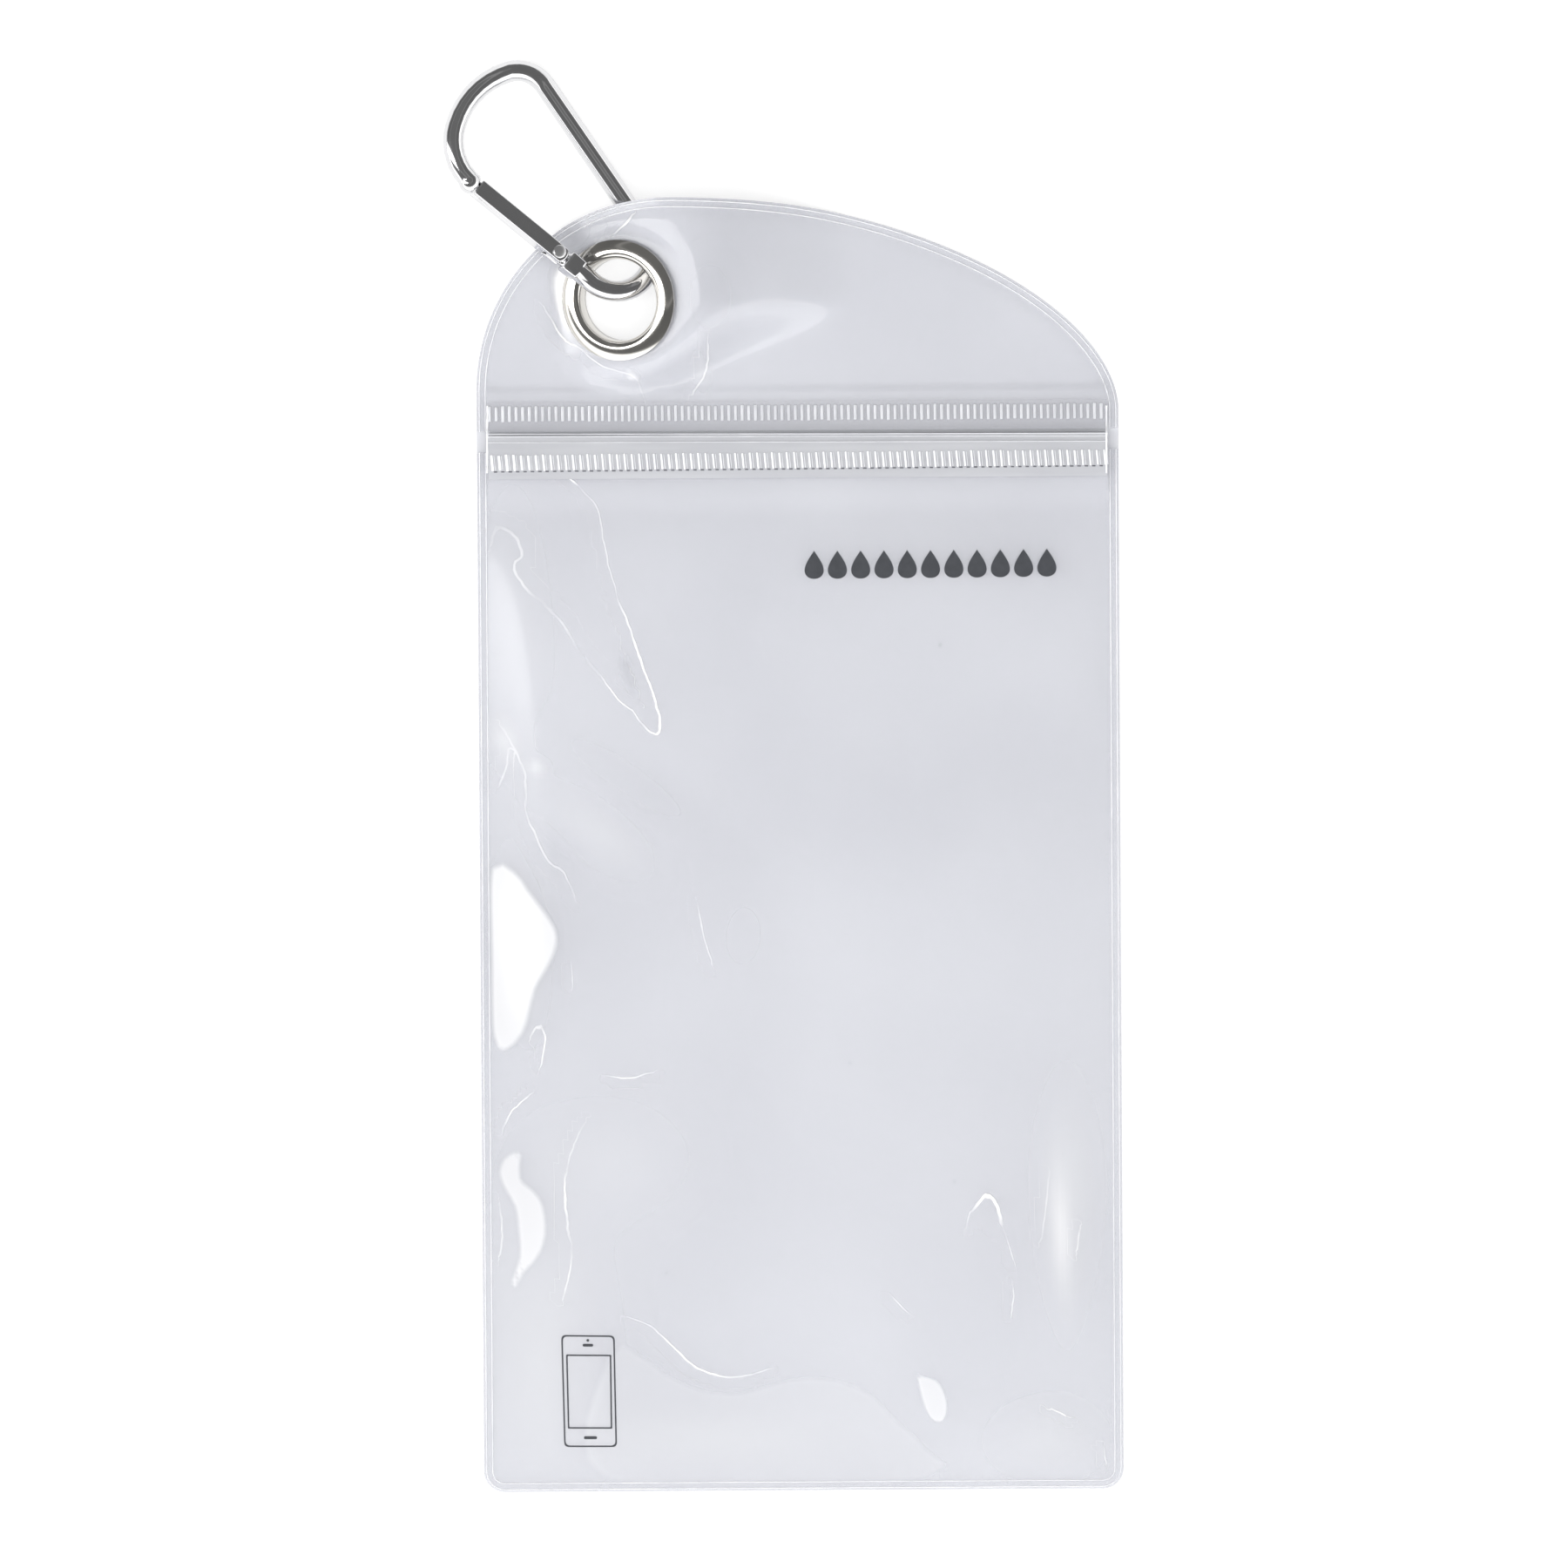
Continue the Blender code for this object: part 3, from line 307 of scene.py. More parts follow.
# Fine creases: points of the photograph, width in mm, height in mm; the height sets a bump and a painted
# highlight along each crease
PANEL_CREASES = (
    ([(648, 546), (656, 552), (662, 557)], 0.2, 0.1),
    ([(662, 557), (674, 570), (684, 581), (689, 595), (692, 615), (696, 633), (699, 651), (705, 668),
      (709, 688)], 0.22, 0.035),
    ([(709, 688), (715, 701), (724, 722), (732, 747), (740, 770), (751, 799), (757, 822), (758, 833),
      (756, 843), (747, 840), (738, 833)], 0.26, 0.13),
    ([(740, 834), (732, 825), (725, 813), (718, 811), (703, 794), (691, 777)], 0.2, 0.08),
    ([(691, 777), (681, 766), (664, 746), (654, 729), (643, 712), (629, 699), (626, 693), (613, 685),
      (603, 674), (594, 661), (591, 653), (593, 646), (599, 642), (600, 636), (596, 623), (588, 613),
      (578, 608), (571, 607), (567, 618), (565, 626)], 0.3, 0.04),
    ([(578, 837), (592, 861), (603, 888), (605, 906), (605, 934), (616, 960), (626, 982), (636, 995),
      (644, 997), (652, 1010), (661, 1030)], 0.25, 0.045),
    ([(585, 861), (582, 884), (574, 903)], 0.2, 0.03),
    ([(657, 1113), (658, 1134)], 0.18, 0.04),
    ([(797, 1027), (803, 1047), (808, 1077), (818, 1106)], 0.22, 0.04),
    ([(610, 1192), (614, 1183), (621, 1177), (625, 1185), (627, 1194), (625, 1208), (622, 1225)],
     0.2, 0.09),
    ([(609, 1258), (601, 1265), (594, 1273), (588, 1277), (582, 1290), (578, 1300)], 0.2, 0.07),
    ([(699, 1235), (708, 1237), (716, 1238), (727, 1237), (737, 1234), (750, 1231)], 0.2, 0.08),
    ([(672, 1289), (666, 1300), (658, 1319), (653, 1334), (651, 1345)], 0.18, 0.03),
    ([(651, 1345), (649, 1353), (649, 1366), (650, 1383), (652, 1402), (653, 1416), (656, 1427)],
     0.25, 0.12),
    ([(656, 1427), (657, 1444), (654, 1465), (650, 1479), (647, 1492)], 0.22, 0.05),
    ([(574, 1383), (577, 1408), (577, 1427), (575, 1444)], 0.2, 0.05),
    ([(1108, 1410), (1110, 1398), (1116, 1387)], 0.2, 0.03),
    ([(1116, 1388), (1121, 1382), (1127, 1376), (1132, 1371), (1137, 1374), (1141, 1380), (1144, 1387),
      (1147, 1398), (1148, 1404)], 0.38, 0.13),
    ([(1148, 1404), (1153, 1418), (1159, 1437), (1162, 1449)], 0.2, 0.04),
    ([(1162, 1478), (1162, 1490), (1160, 1508)], 0.2, 0.05),
    ([(1203, 1346), (1199, 1389), (1194, 1424)], 0.2, 0.03),
    ([(1238, 1411), (1235, 1437)], 0.2, 0.04),
    ([(722, 1513), (745, 1521)], 0.2, 0.03),
    ([(745, 1521), (760, 1534), (775, 1549), (790, 1564), (798, 1570), (817, 1578), (839, 1582),
      (862, 1579)], 0.24, 0.11),
    ([(862, 1579), (884, 1572)], 0.2, 0.04),
    ([(1204, 1619), (1223, 1628)], 0.2, 0.07),
    ([(1266, 1666), (1268, 1681)], 0.2, 0.06),
    ([(1023, 1489), (1040, 1506)], 0.2, 0.05),
)
FLAP_CREASES = (
    ([(625, 353), (633, 367), (641, 380), (652, 393), (664, 398)], 0.22, 0.08),
    ([(667, 399), (681, 412), (695, 420), (710, 424), (727, 428)], 0.2, 0.06),
    ([(727, 428), (731, 432), (735, 443), (741, 462)], 0.18, 0.05),
    ([(812, 385), (812, 405), (810, 425), (804, 440), (796, 450)], 0.22, 0.06),
    ([(728, 245), (718, 257), (708, 267)], 0.25, 0.09),
)

# Patches of painted glare with an edge: points of the photograph, soft edge in mm, strength
PANEL_PAINTED_GLARE = (
    ([(567, 999), (592, 1004), (606, 1023), (620, 1041), (631, 1056), (638, 1069), (639, 1083), (634, 1100),
      (624, 1118), (614, 1136), (607, 1165), (600, 1187), (581, 1207), (568, 1190), (566, 1100)], 0.6, 0.6),
    ([(575, 1349), (580, 1333), (592, 1325), (598, 1327), (597, 1338), (598, 1357), (609, 1366), (620, 1378),
      (625, 1395), (626, 1418), (621, 1437), (611, 1452), (601, 1463), (592, 1479), (589, 1473),
      (598, 1446), (597, 1418), (593, 1387), (582, 1368)], 0.5, 0.5),
    ([(1052, 1577), (1056, 1581), (1072, 1585), (1082, 1598), (1086, 1617), (1082, 1632), (1072, 1633),
      (1063, 1621), (1056, 1598)], 0.3, 0.5),
    ([(700, 1557), (734, 1557), (764, 1579), (805, 1597), (850, 1601), (888, 1590), (926, 1583),
      (963, 1587), (997, 1602), (1027, 1632), (1061, 1666), (1061, 1700), (700, 1700)], 0.7, 0.12),
)
FLAP_PAINTED_GLARE = (
    ([(638, 318), (650, 305), (658, 312), (659, 335), (663, 360), (676, 388), (664, 385), (650, 368),
      (640, 345)], 0.9, 0.8),
)

# Soft tones of painted light and shade: photograph point, half widths in pixels, turn in degrees, strength
# (above 0 a painted highlight, below 0 painted shade)
PANEL_PAINTED_LIGHT_AND_SHADE = (
    (687, 954, 62, 30, -38, 0.18),
    (732, 900, 110, 26, -34, -0.07),
    (634, 976, 30, 26, -50, -0.06),
    (850, 1065, 50, 90, 0, -0.05),
    (580, 848, 14, 24, 20, 0.25),
    (618, 878, 10, 8, 0, 0.25),
    (598, 1085, 24, 80, 4, 0.3),
    (1217, 1420, 11, 70, 3, 0.34),
    (1222, 1375, 30, 110, 0, 0.26),
    (718, 762, 5, 9, 0, -0.3),
    (724, 781, 5, 15, 20, -0.25),
    (1200, 1650, 55, 40, 0, 0.18),
    (625, 1560, 70, 140, 0, 0.26),
    (820, 1650, 120, 30, 0, 0.12),
    (690, 1330, 90, 60, 0, 0.14),
    (590, 700, 40, 160, 0, 0.1),
)
FLAP_PAINTED_LIGHT_AND_SHADE = (
    (651, 348, 10, 38, 8, 0.8),
    (726, 428, 6, 3, -10, 0.8),
    (803, 420, 10, 26, 10, 0.15),
    (815, 335, 28, 45, 0, -0.12),
    (650, 276, 30, 14, 30, -0.15),
)


def smooth_run(points, step, closed=False):
    """A curve through the points, sampled step apart."""
    points = np.array(points, float)
    if closed:
        ends = np.concatenate([points[-1:], points, points[:2]])
    else:
        ends = np.concatenate([[2 * points[0] - points[1]], points, [2 * points[-1] - points[-2]]])
    out = []
    for i in range(len(ends) - 3):
        a, b, c, d = ends[i:i + 4]
        count = max(2, int(np.linalg.norm(c - b) / step))
        t = np.linspace(0, 1, count, endpoint=False)[:, None]
        out.append(0.5 * (2 * b + (c - a) * t + (2 * a - 5 * b + 4 * c - d) * t ** 2
                          + (3 * b - a - 3 * c + d) * t ** 3))
    if not closed:
        out.append(points[-1:])
    return np.concatenate(out)


def to_segment(x, y, a, b):
    """Distance to a straight piece from a to b, and which side of it a point is on."""
    along = b - a
    length = max(np.linalg.norm(along), 1e-9)
    along = along / length
    rx, ry = x - a[0], y - a[1]
    t = np.clip(rx * along[0] + ry * along[1], 0, length)
    return np.hypot(rx - t * along[0], ry - t * along[1]), along[0] * ry - along[1] * rx


def crease_field(table, x, y, z):
    """Signed distance to the nearest crease in crease widths, and how strong it is there, for its bump and
    its painted highlight.
    """
    offset = np.full(len(x), 9.0)
    strength = np.zeros(len(x))
    for pixels, width, height in table:
        run = smooth_run([from_photo(*p, z) for p in pixels], 1.0 * MM)
        for i, (a, b) in enumerate(zip(run, run[1:])):
            near = (np.abs(x - a[0]) < 4 * MM) & (np.abs(y - a[1]) < 4 * MM)
            if not near.any():
                continue
            distance, side = to_segment(x[near], y[near], a, b)
            d = distance / (width * MM)
            fade = math.sin(math.pi * min(max((i + 0.5) / len(run), 0.04), 0.96)) ** 0.5
            index = np.flatnonzero(near)
            closer = d < np.abs(offset[index])
            index = index[closer]
            offset[index] = (np.where(side < 0, -1, 1) * d)[closer]
            strength[index] = height * fade
    return offset, strength


def painted_glare_field(table, x, y, z):
    """How far inside the nearest patch of painted glare a point lies, in widths of its edge, and its
    strength.
    """
    offset = np.full(len(x), -4.0)
    strength = np.zeros(len(x))
    for pixels, soft, bright in table:
        loop = smooth_run([from_photo(*p, z) for p in pixels], 2.0 * MM, closed=True)
        nearest = np.full(len(x), 1.0)
        inside = np.zeros(len(x), bool)
        for a, b in zip(loop, np.roll(loop, -1, axis=0)):
            nearest = np.minimum(nearest, to_segment(x, y, a, b)[0])
            crosses = (a[1] > y) != (b[1] > y)
            rise = b[1] - a[1] if abs(b[1] - a[1]) > 1e-12 else 1e-12
            inside ^= crosses & (x < a[0] + (b[0] - a[0]) * (y - a[1]) / rise)
        d = np.clip(np.where(inside, nearest, -nearest) / (soft * MM), -4.0, 4.0)
        better = d > offset
        offset[better] = d[better]
        strength[better] = bright
    return offset, strength


# Meshes

def new_object(name, mesh, body=None, material=None, replaces=()):
    """An object in the scene, with what the frame is told of it."""
    obj = bpy.data.objects.new(name, mesh)
    bpy.context.scene.collection.objects.link(obj)
    if material:
        mesh.materials.clear()
        mesh.materials.append(material)
    if body:
        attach(obj, body)
    if replaces:
        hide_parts(*replaces)
    return obj


def finished(name, bm):
    """The working mesh as plain mesh data; the working one goes."""
    mesh = bpy.data.meshes.new(name)
    bm.to_mesh(mesh)
    bm.free()
    return mesh


def baked(obj):
    """The object's mesh with its modifiers applied, as plain mesh data; the object goes."""
    depsgraph = bpy.context.evaluated_depsgraph_get()
    mesh = bpy.data.meshes.new_from_object(obj.evaluated_get(depsgraph))
    mesh.name = obj.name
    bpy.data.objects.remove(obj, do_unlink=True)
    return mesh


def thickened(name, mesh, thickness):
    """A sheet made solid upwards."""
    obj = new_object(name, mesh)
    solid = obj.modifiers.new("Thickness", "SOLIDIFY")
    solid.thickness, solid.offset = thickness, 1
    return baked(obj)


def smoothed(mesh, angle):
    mesh.shade_smooth()
    mesh.set_sharp_from_angle(angle=math.radians(angle))
    return mesh


def coordinates(mesh):
    co = np.empty(len(mesh.vertices) * 3)
    mesh.vertices.foreach_get("co", co)
    return co.reshape(-1, 3)


def add_attribute(mesh, name, values):
    made = mesh.attributes.new(name, "FLOAT", "POINT")
    made.data.foreach_set("value", values.astype(np.float32))


def film_mesh(name, edge, holes, rows, height, grid, marks=None):
    """Film inside an edge loop: rows that follow the edge, a grid within, lifted to its height.

    Its marks are tables of creases, of patches of painted glare and of tones of painted light and shade, and
    the height at which these are placed.
    """
    points, edges, first = [], [], 0
    for loop in [edge] + holes:
        points.append(loop)
        edges += [(first + i, first + (i + 1) % len(loop)) for i in range(len(loop))]
        first += len(loop)
    points += rows
    xs = np.arange(-HALF_WIDTH, HALF_WIDTH + grid / 2, grid)
    ys = np.arange(edge[:, 1].min(), edge[:, 1].max() + grid / 2, grid)
    gx, gy = [g.ravel() for g in np.meshgrid(xs, ys)]
    keep = edge_depth(gx, gy) > GRID_INSET
    keep &= (gy > edge[:, 1].min() + grid / 2) & (gy < edge[:, 1].max() - grid / 2)
    if holes:
        keep &= np.hypot(gx - EYELET_X, gy - EYELET_Y) > FLAT_RADIUS + 1.5 * grid
    points.append(np.stack([gx[keep], gy[keep]], axis=1))
    points = np.concatenate(points)
    verts, _, faces, _, _, _ = geometry.delaunay_2d_cdt(
        [Vector(p) for p in points / MM], edges, [], 2, 1e-4)
    flat = np.array([v[:] for v in verts]) * MM
    x, y = flat.T
    bm = bmesh.new()
    made = [bm.verts.new(co) for co in zip(x, y, height(x, y))]
    for face in faces:
        cx, cy = (sum(v[i] for i in face) / len(face) for v in (x, y))
        if holes and math.hypot(cx - EYELET_X, cy - EYELET_Y) < FILM_HOLE:
            continue
        bm.faces.new([made[i] for i in face])
    bmesh.ops.delete(bm, geom=[v for v in bm.verts if not v.link_faces], context="VERTS")
    if sum(f.normal.z for f in bm.faces) < 0:
        bmesh.ops.reverse_faces(bm, faces=bm.faces)
    mesh = finished(name, bm)
    if marks:
        creases, patches, tones, level = marks
        x, y, _ = coordinates(mesh).T
        for kind, field, table in (("crease", crease_field, creases), ("patch", painted_glare_field, patches)):
            for part, values in zip(("offset", "height"), field(table, x, y, level)):
                add_attribute(mesh, kind + "_" + part, values)
        # the tone attribute holds painted light and shade, the patch attributes painted glare
        add_attribute(mesh, "tone", swells(tones, x, y) / MM)
    return smoothed(thickened(name, mesh, FILM), 50)


def edge_rows(spacing, y_low=-math.inf, y_high=math.inf, extra=()):
    """Rows of points that follow the edge where the film steps up from its weld."""
    rows = []
    for inset in EDGE_INSETS:
        loop = outline(inset, spacing=spacing)
        rows.append(loop[(loop[:, 1] > y_low + ROW_END) & (loop[:, 1] < y_high - ROW_END)])
    for y in extra:
        xs = np.arange(-HALF_WIDTH + 3 * MM, HALF_WIDTH - 3 * MM, spacing)
        rows.append(np.stack([xs, np.full(len(xs), y)], axis=1))
    return rows


def eyelet_rows(spacing):
    rows = []
    for radius in EYELET_ROWS:
        count = round(math.tau * radius / spacing)
        rows.append(arc(EYELET_X, EYELET_Y, radius, 0, 360, count)[:-1])
    return rows


# Nodes

class Node:
    """Adds nodes to a tree; a wrapped socket can be used in sums."""

    def __init__(self, tree, socket):
        self.tree, self.socket = tree, socket

    def math(self, operation, other=None):
        values = [self] + ([] if other is None else [other])
        return make(self.tree, "ShaderNodeMath", dict(enumerate(values)), operation=operation)

    def __add__(self, other):
        return self.math("ADD", other)

    __radd__ = __add__

    def __sub__(self, other):
        return self.math("SUBTRACT", other)

    def __rsub__(self, other):
        return (self * -1) + other

    def __mul__(self, other):
        return self.math("MULTIPLY", other)

    __rmul__ = __mul__

    def clamp(self):
        return self.math("MAXIMUM", 0.0).math("MINIMUM", 1.0)

    def eased(self):
        t = self.clamp()
        return t * t * (3.0 - 2.0 * t)


def make(tree, kind, sockets, output=0, **settings):
    """One node with its sockets by name or number, and its settings; returns an output."""
    node = tree.nodes.new(kind)
    for key, value in settings.items():
        if key == "stops":
            ramp = node.color_ramp
            while len(ramp.elements) < len(value):
                ramp.elements.new(0.5)
            for element, (position, level) in zip(ramp.elements, value):
                element.position = position
                element.color = (level, level, level, 1.0)
        else:
            setattr(node, key, value)
    for key, value in sockets.items():
        socket = node.inputs[key]
        if isinstance(value, Node):
            tree.links.new(value.socket, socket)
        elif socket.type == "RGBA" and len(value) == 3:
            socket.default_value = (*value, 1.0)
        else:
            socket.default_value = value
    return Node(tree, node.outputs[output])


def end_tree(tree, kind, value):
    """The tree's output node, fed with its last value."""
    tree.links.new(value.socket, tree.nodes.new(kind).inputs[0])


# Geometry Nodes

def shape_tree(name, inputs):
    """An empty tree with named inputs; returns it and its inputs by name."""
    tree = bpy.data.node_groups.new(name, "GeometryNodeTree")
    tree.interface.new_socket("Geometry", in_out="INPUT", socket_type="NodeSocketGeometry")
    for key, kind in inputs + (("Material", "Material"),):
        tree.interface.new_socket(key, in_out="INPUT", socket_type="NodeSocket" + kind)
    tree.interface.new_socket("Geometry", in_out="OUTPUT", socket_type="NodeSocketGeometry")
    start = tree.nodes.new("NodeGroupInput")
    return tree, {s.name: Node(tree, s) for s in start.outputs if s.name}


def close_tree(tree, shape, material):
    """Realize Instances and Set Material end every tree."""
    real = make(tree, "GeometryNodeRealizeInstances", {"Geometry": shape})
    done = make(tree, "GeometryNodeSetMaterial", {"Geometry": real, "Material": material})
    end_tree(tree, "NodeGroupOutput", done)
    return tree


def bead_tree():
    """A bead of melted film along a path of edges."""
    tree, given = shape_tree("bead along a path", (
        ("Radius", "Float"), ("Sides", "Int"), ("Lumps", "Float"), ("Lump size", "Float"), ("Seed", "Float")))
    path = make(tree, "GeometryNodeMeshToCurve", {"Mesh": given["Geometry"]})
    ring = make(tree, "GeometryNodeCurvePrimitiveCircle",
                {"Resolution": given["Sides"], "Radius": given["Radius"]})
    bead = make(tree, "GeometryNodeCurveToMesh",
                {"Curve": path, "Profile Curve": ring, "Fill Caps": True})
    lump = make(tree, "ShaderNodeTexNoise", {"Scale": given["Lump size"], "W": given["Seed"], "Detail": 2.0},
                noise_dimensions="4D")
    normal = make(tree, "GeometryNodeInputNormal", {})
    offset = make(tree, "ShaderNodeVectorMath", {0: normal, "Scale": (lump - 0.5) * given["Lumps"]},
                  operation="SCALE")
    moved = make(tree, "GeometryNodeSetPosition", {"Geometry": bead, "Offset": offset})
    return close_tree(tree, moved, given["Material"])


def row_tree():
    """Copies of one shape in a straight row, each a little different, wider towards its start."""
    tree, given = shape_tree("row of one shape", (
        ("Count", "Int"), ("Start", "Vector"), ("Pitch", "Vector"), ("Lean", "Float"),
        ("Uneven", "Float"), ("Start width", "Float"), ("Start run", "Float"), ("Seed", "Int")))
    line = make(tree, "GeometryNodeMeshLine", {"Count": given["Count"], "Start Location": given["Start"],
                                                   "Offset": given["Pitch"]})
    place = make(tree, "GeometryNodeInputIndex", {})
    wider = 1.0 + given["Start width"] * (1.0 - place * given["Start run"]).clamp()

    def around(seed):
        spread = make(tree, "FunctionNodeRandomValue", {2: -1.0, 3: 1.0, "Seed": given["Seed"] + seed}, 1,
                      data_type="FLOAT")
        return 1.0 + spread * given["Uneven"]

    scale = make(tree, "ShaderNodeCombineXYZ", {0: wider * around(1), 1: around(2), 2: around(3)})
    turn = make(tree, "ShaderNodeCombineXYZ", {2: given["Lean"]})
    copies = make(tree, "GeometryNodeInstanceOnPoints", {
        "Points": line, "Instance": given["Geometry"], "Rotation": turn, "Scale": scale})
    return close_tree(tree, copies, given["Material"])


def grown(name, tree, base, values):
    """The plain mesh that a tree makes of a base mesh."""
    obj = new_object(name, base)
    modifier = obj.modifiers.new("Shape", "NODES")
    modifier.node_group = tree
    for item in tree.interface.items_tree:
        if item.in_out == "INPUT" and item.name in values:
            modifier[item.identifier] = values[item.name]
    return baked(obj)


def path_mesh(runs):
    """Edges along each run of points, for a tree to follow."""
    verts, edges = [], []
    for run in runs:
        first = len(verts)
        verts += [tuple(p) for p in run]
        edges += [(first + i, first + i + 1) for i in range(len(run) - 1)]
    mesh = bpy.data.meshes.new("path")
    mesh.from_pydata(verts, edges, [])
    return mesh


def bar_mesh(width, length, height, rounding):
    """One raised bar with softened edges, its foot at Z = 0."""
    bm = bmesh.new()
    bmesh.ops.create_cube(bm, size=1.0)
    bmesh.ops.scale(bm, vec=(width, length, height), verts=bm.verts)
    bmesh.ops.translate(bm, vec=(0, 0, height / 2), verts=bm.verts)
    edges = [e for e in bm.edges if max(v.co.z for v in e.verts) > height * 0.9]
    bmesh.ops.bevel(bm, geom=edges, offset=rounding, segments=2, profile=0.5, affect="EDGES")
    for face in bm.faces:
        face.smooth = True
    return finished("bar", bm)


# Materials

def new_material(name, **values):
    """A material with a Principled shader and its values; returns its tree and coordinates too."""
    material = bpy.data.materials.new(name)
    material.use_nodes = True
    shader = material.node_tree.nodes["Principled BSDF"]
    for key, value in values.items():
        socket = shader.inputs[key.replace("_", " ")]
        socket.default_value = (*value, 1.0) if isinstance(value, tuple) else value
    tree = material.node_tree
    return material, tree, make(tree, "ShaderNodeTexCoord", {}, "Object")


def connect(material, socket, value):
    shader = material.node_tree.nodes["Principled BSDF"]
    value.tree.links.new(value.socket, shader.inputs[socket])


def noise(tree, vector, scale, detail=3.0):
    return make(tree, "ShaderNodeTexNoise", {"Vector": vector, "Scale": scale, "Detail": detail})


def stretched(tree, vector, scale):
    return make(tree, "ShaderNodeMapping", {"Vector": vector, "Scale": scale})


def mix_colour(tree, factor, a, b):
    return make(tree, "ShaderNodeMix", {0: factor, 6: a, 7: b}, 2, data_type="RGBA")


def bump(tree, height):
    return make(tree, "ShaderNodeBump", {"Height": height, "Distance": 1.0, "Strength": 1.0})


def attribute(tree, name):
    return make(tree, "ShaderNodeAttribute", {}, "Fac", attribute_name=name)


def split_xyz(tree, vector):
    split = make(tree, "ShaderNodeSeparateXYZ", {0: vector}).socket.node
    return [Node(tree, socket) for socket in split.outputs]


def ray_is(tree, *kinds):
    """1 for rays of these kinds, 0 for the others."""
    first, *others = [make(tree, "ShaderNodeLightPath", {}, "Is " + kind + " Ray") for kind in kinds]
    return sum(others, first).clamp()


def srgb(*values):
    """A colour as read off a screen, 0 to 255, in the shader's own scale."""
    return tuple(((v / 255 + 0.055) / 1.055) ** 2.4 for v in values)


# Grey specks on the rear film: photograph point, radius in mm, strength
SPECKS = (
    (784, 602, 0.55, 0.25), (1078, 740, 0.7, 0.4), (858, 760, 0.6, 0.22), (574, 743, 0.35, 0.4),
    (923, 1093, 0.35, 0.35), (975, 1220, 0.45, 0.4), (975, 1307, 0.4, 0.4), (1095, 1357, 0.5, 0.3),
    (765, 1462, 0.45, 0.4), (820, 1409, 0.3, 0.5), (990, 1085, 0.3, 0.2), (1160, 1392, 0.3, 0.3),
)


def milky_film():
    m, tree, where = new_material("milky film", Roughness=0.35, IOR=1.5)
    cloud = noise(tree, where, 26.0, 2.0)
    lower = (0.2 - split_xyz(tree, where)[1] * 6.5).eased()
    tone = mix_colour(tree, lower, srgb(209, 210, 215), srgb(228, 229, 233))
    cloudy = mix_colour(tree, ((cloud - 0.35) * 1.4).clamp(), tone, srgb(228, 229, 233))
    spots = []
    for px, py, radius, strength in SPECKS:
        gap = make(tree, "ShaderNodeVectorMath", {0: where, 1: (*from_photo(px, py), FILM)}, "Value",
                   operation="DISTANCE")
        spots.append((1.0 - gap * (1 / (radius * MM))).clamp() * strength)
    spotted = sum(spots[1:], spots[0]).clamp()
    connect(m, "Base Color", mix_colour(tree, spotted, cloudy, srgb(120, 122, 130)))
    connect(m, "Normal", bump(tree, noise(tree, where, 900.0, 0.0) * (0.012 * MM)))
    return m


def clear_film(name, alpha):
    """Clear film, with painted highlights along its creases over a real bump, painted glare in soft patches,
    and painted light and shade from its tones.
    """
    m, tree, where = new_material(name, Roughness=0.12, IOR=1.5, Alpha=alpha,
                                  Coat_Weight=0.5, Coat_Roughness=0.1)
    cloud = noise(tree, where, 22.0, 1.0)
    base = mix_colour(tree, ((cloud - 0.3) * 1.6).clamp(), srgb(220, 221, 227), srgb(232, 233, 238))
    wobble = noise(tree, where, 650.0, 0.0)
    offset = attribute(tree, "crease_offset") + (wobble - 0.5) * 1.3
    flicker = noise(tree, where, 170.0, 0.0)
    height = attribute(tree, "crease_height") * (flicker * 2.4 - 0.3).clamp()
    ridge = (1.0 - (offset * offset)).eased()
    # painted glare inside the patches; the tone attribute adds painted light above 0 and painted shade below
    # 0
    inside = (attribute(tree, "patch_offset") * 0.5 + 0.5).eased() * attribute(tree, "patch_height")
    painted_glare_and_shade = inside + attribute(tree, "tone")
    # painted shade: darker grey where the tone is below 0
    with_painted_shade = mix_colour(tree, (painted_glare_and_shade * -1.0).clamp(), base, srgb(120, 122, 130))
    # painted highlight: white along the creases and in the glare
    painted_highlight = (ridge * height * 10.0 + painted_glare_and_shade).clamp()
    connect(m, "Base Color", mix_colour(tree, painted_highlight, with_painted_shade, srgb(255, 255, 255)))
    # the film turns more opaque where highlight or shade is painted on it
    opaque = alpha + (1.0 - alpha) * (ridge * height * 8.0 + painted_glare_and_shade.math("ABSOLUTE") * 0.9)
    connect(m, "Alpha", opaque.clamp())
    connect(m, "Normal", bump(tree, ridge * height * MM + cloud * (0.15 * MM)))
    return m


def zip_plastic(name, alpha, low, high):
    m, tree, where = new_material(name, Roughness=0.25, IOR=1.5, Alpha=alpha,
                                  Coat_Weight=0.5, Coat_Roughness=0.1)
    cloud = noise(tree, stretched(tree, where, (0.10, 1.0, 1.0)), 420.0)
    connect(m, "Base Color", mix_colour(tree, ((cloud - 0.3) * 1.9).clamp(), low, high))
    connect(m, "Normal", bump(tree, cloud * (0.02 * MM)))
    return m


def weld_bead(name, low, high):
    m, tree, where = new_material(name, Roughness=0.2, IOR=1.5, Coat_Weight=0.8, Coat_Roughness=0.08)
    cloud = noise(tree, where, 190.0)
    connect(m, "Base Color", mix_colour(tree, ((cloud - 0.3) * 1.9).clamp(), low, high))
    return m


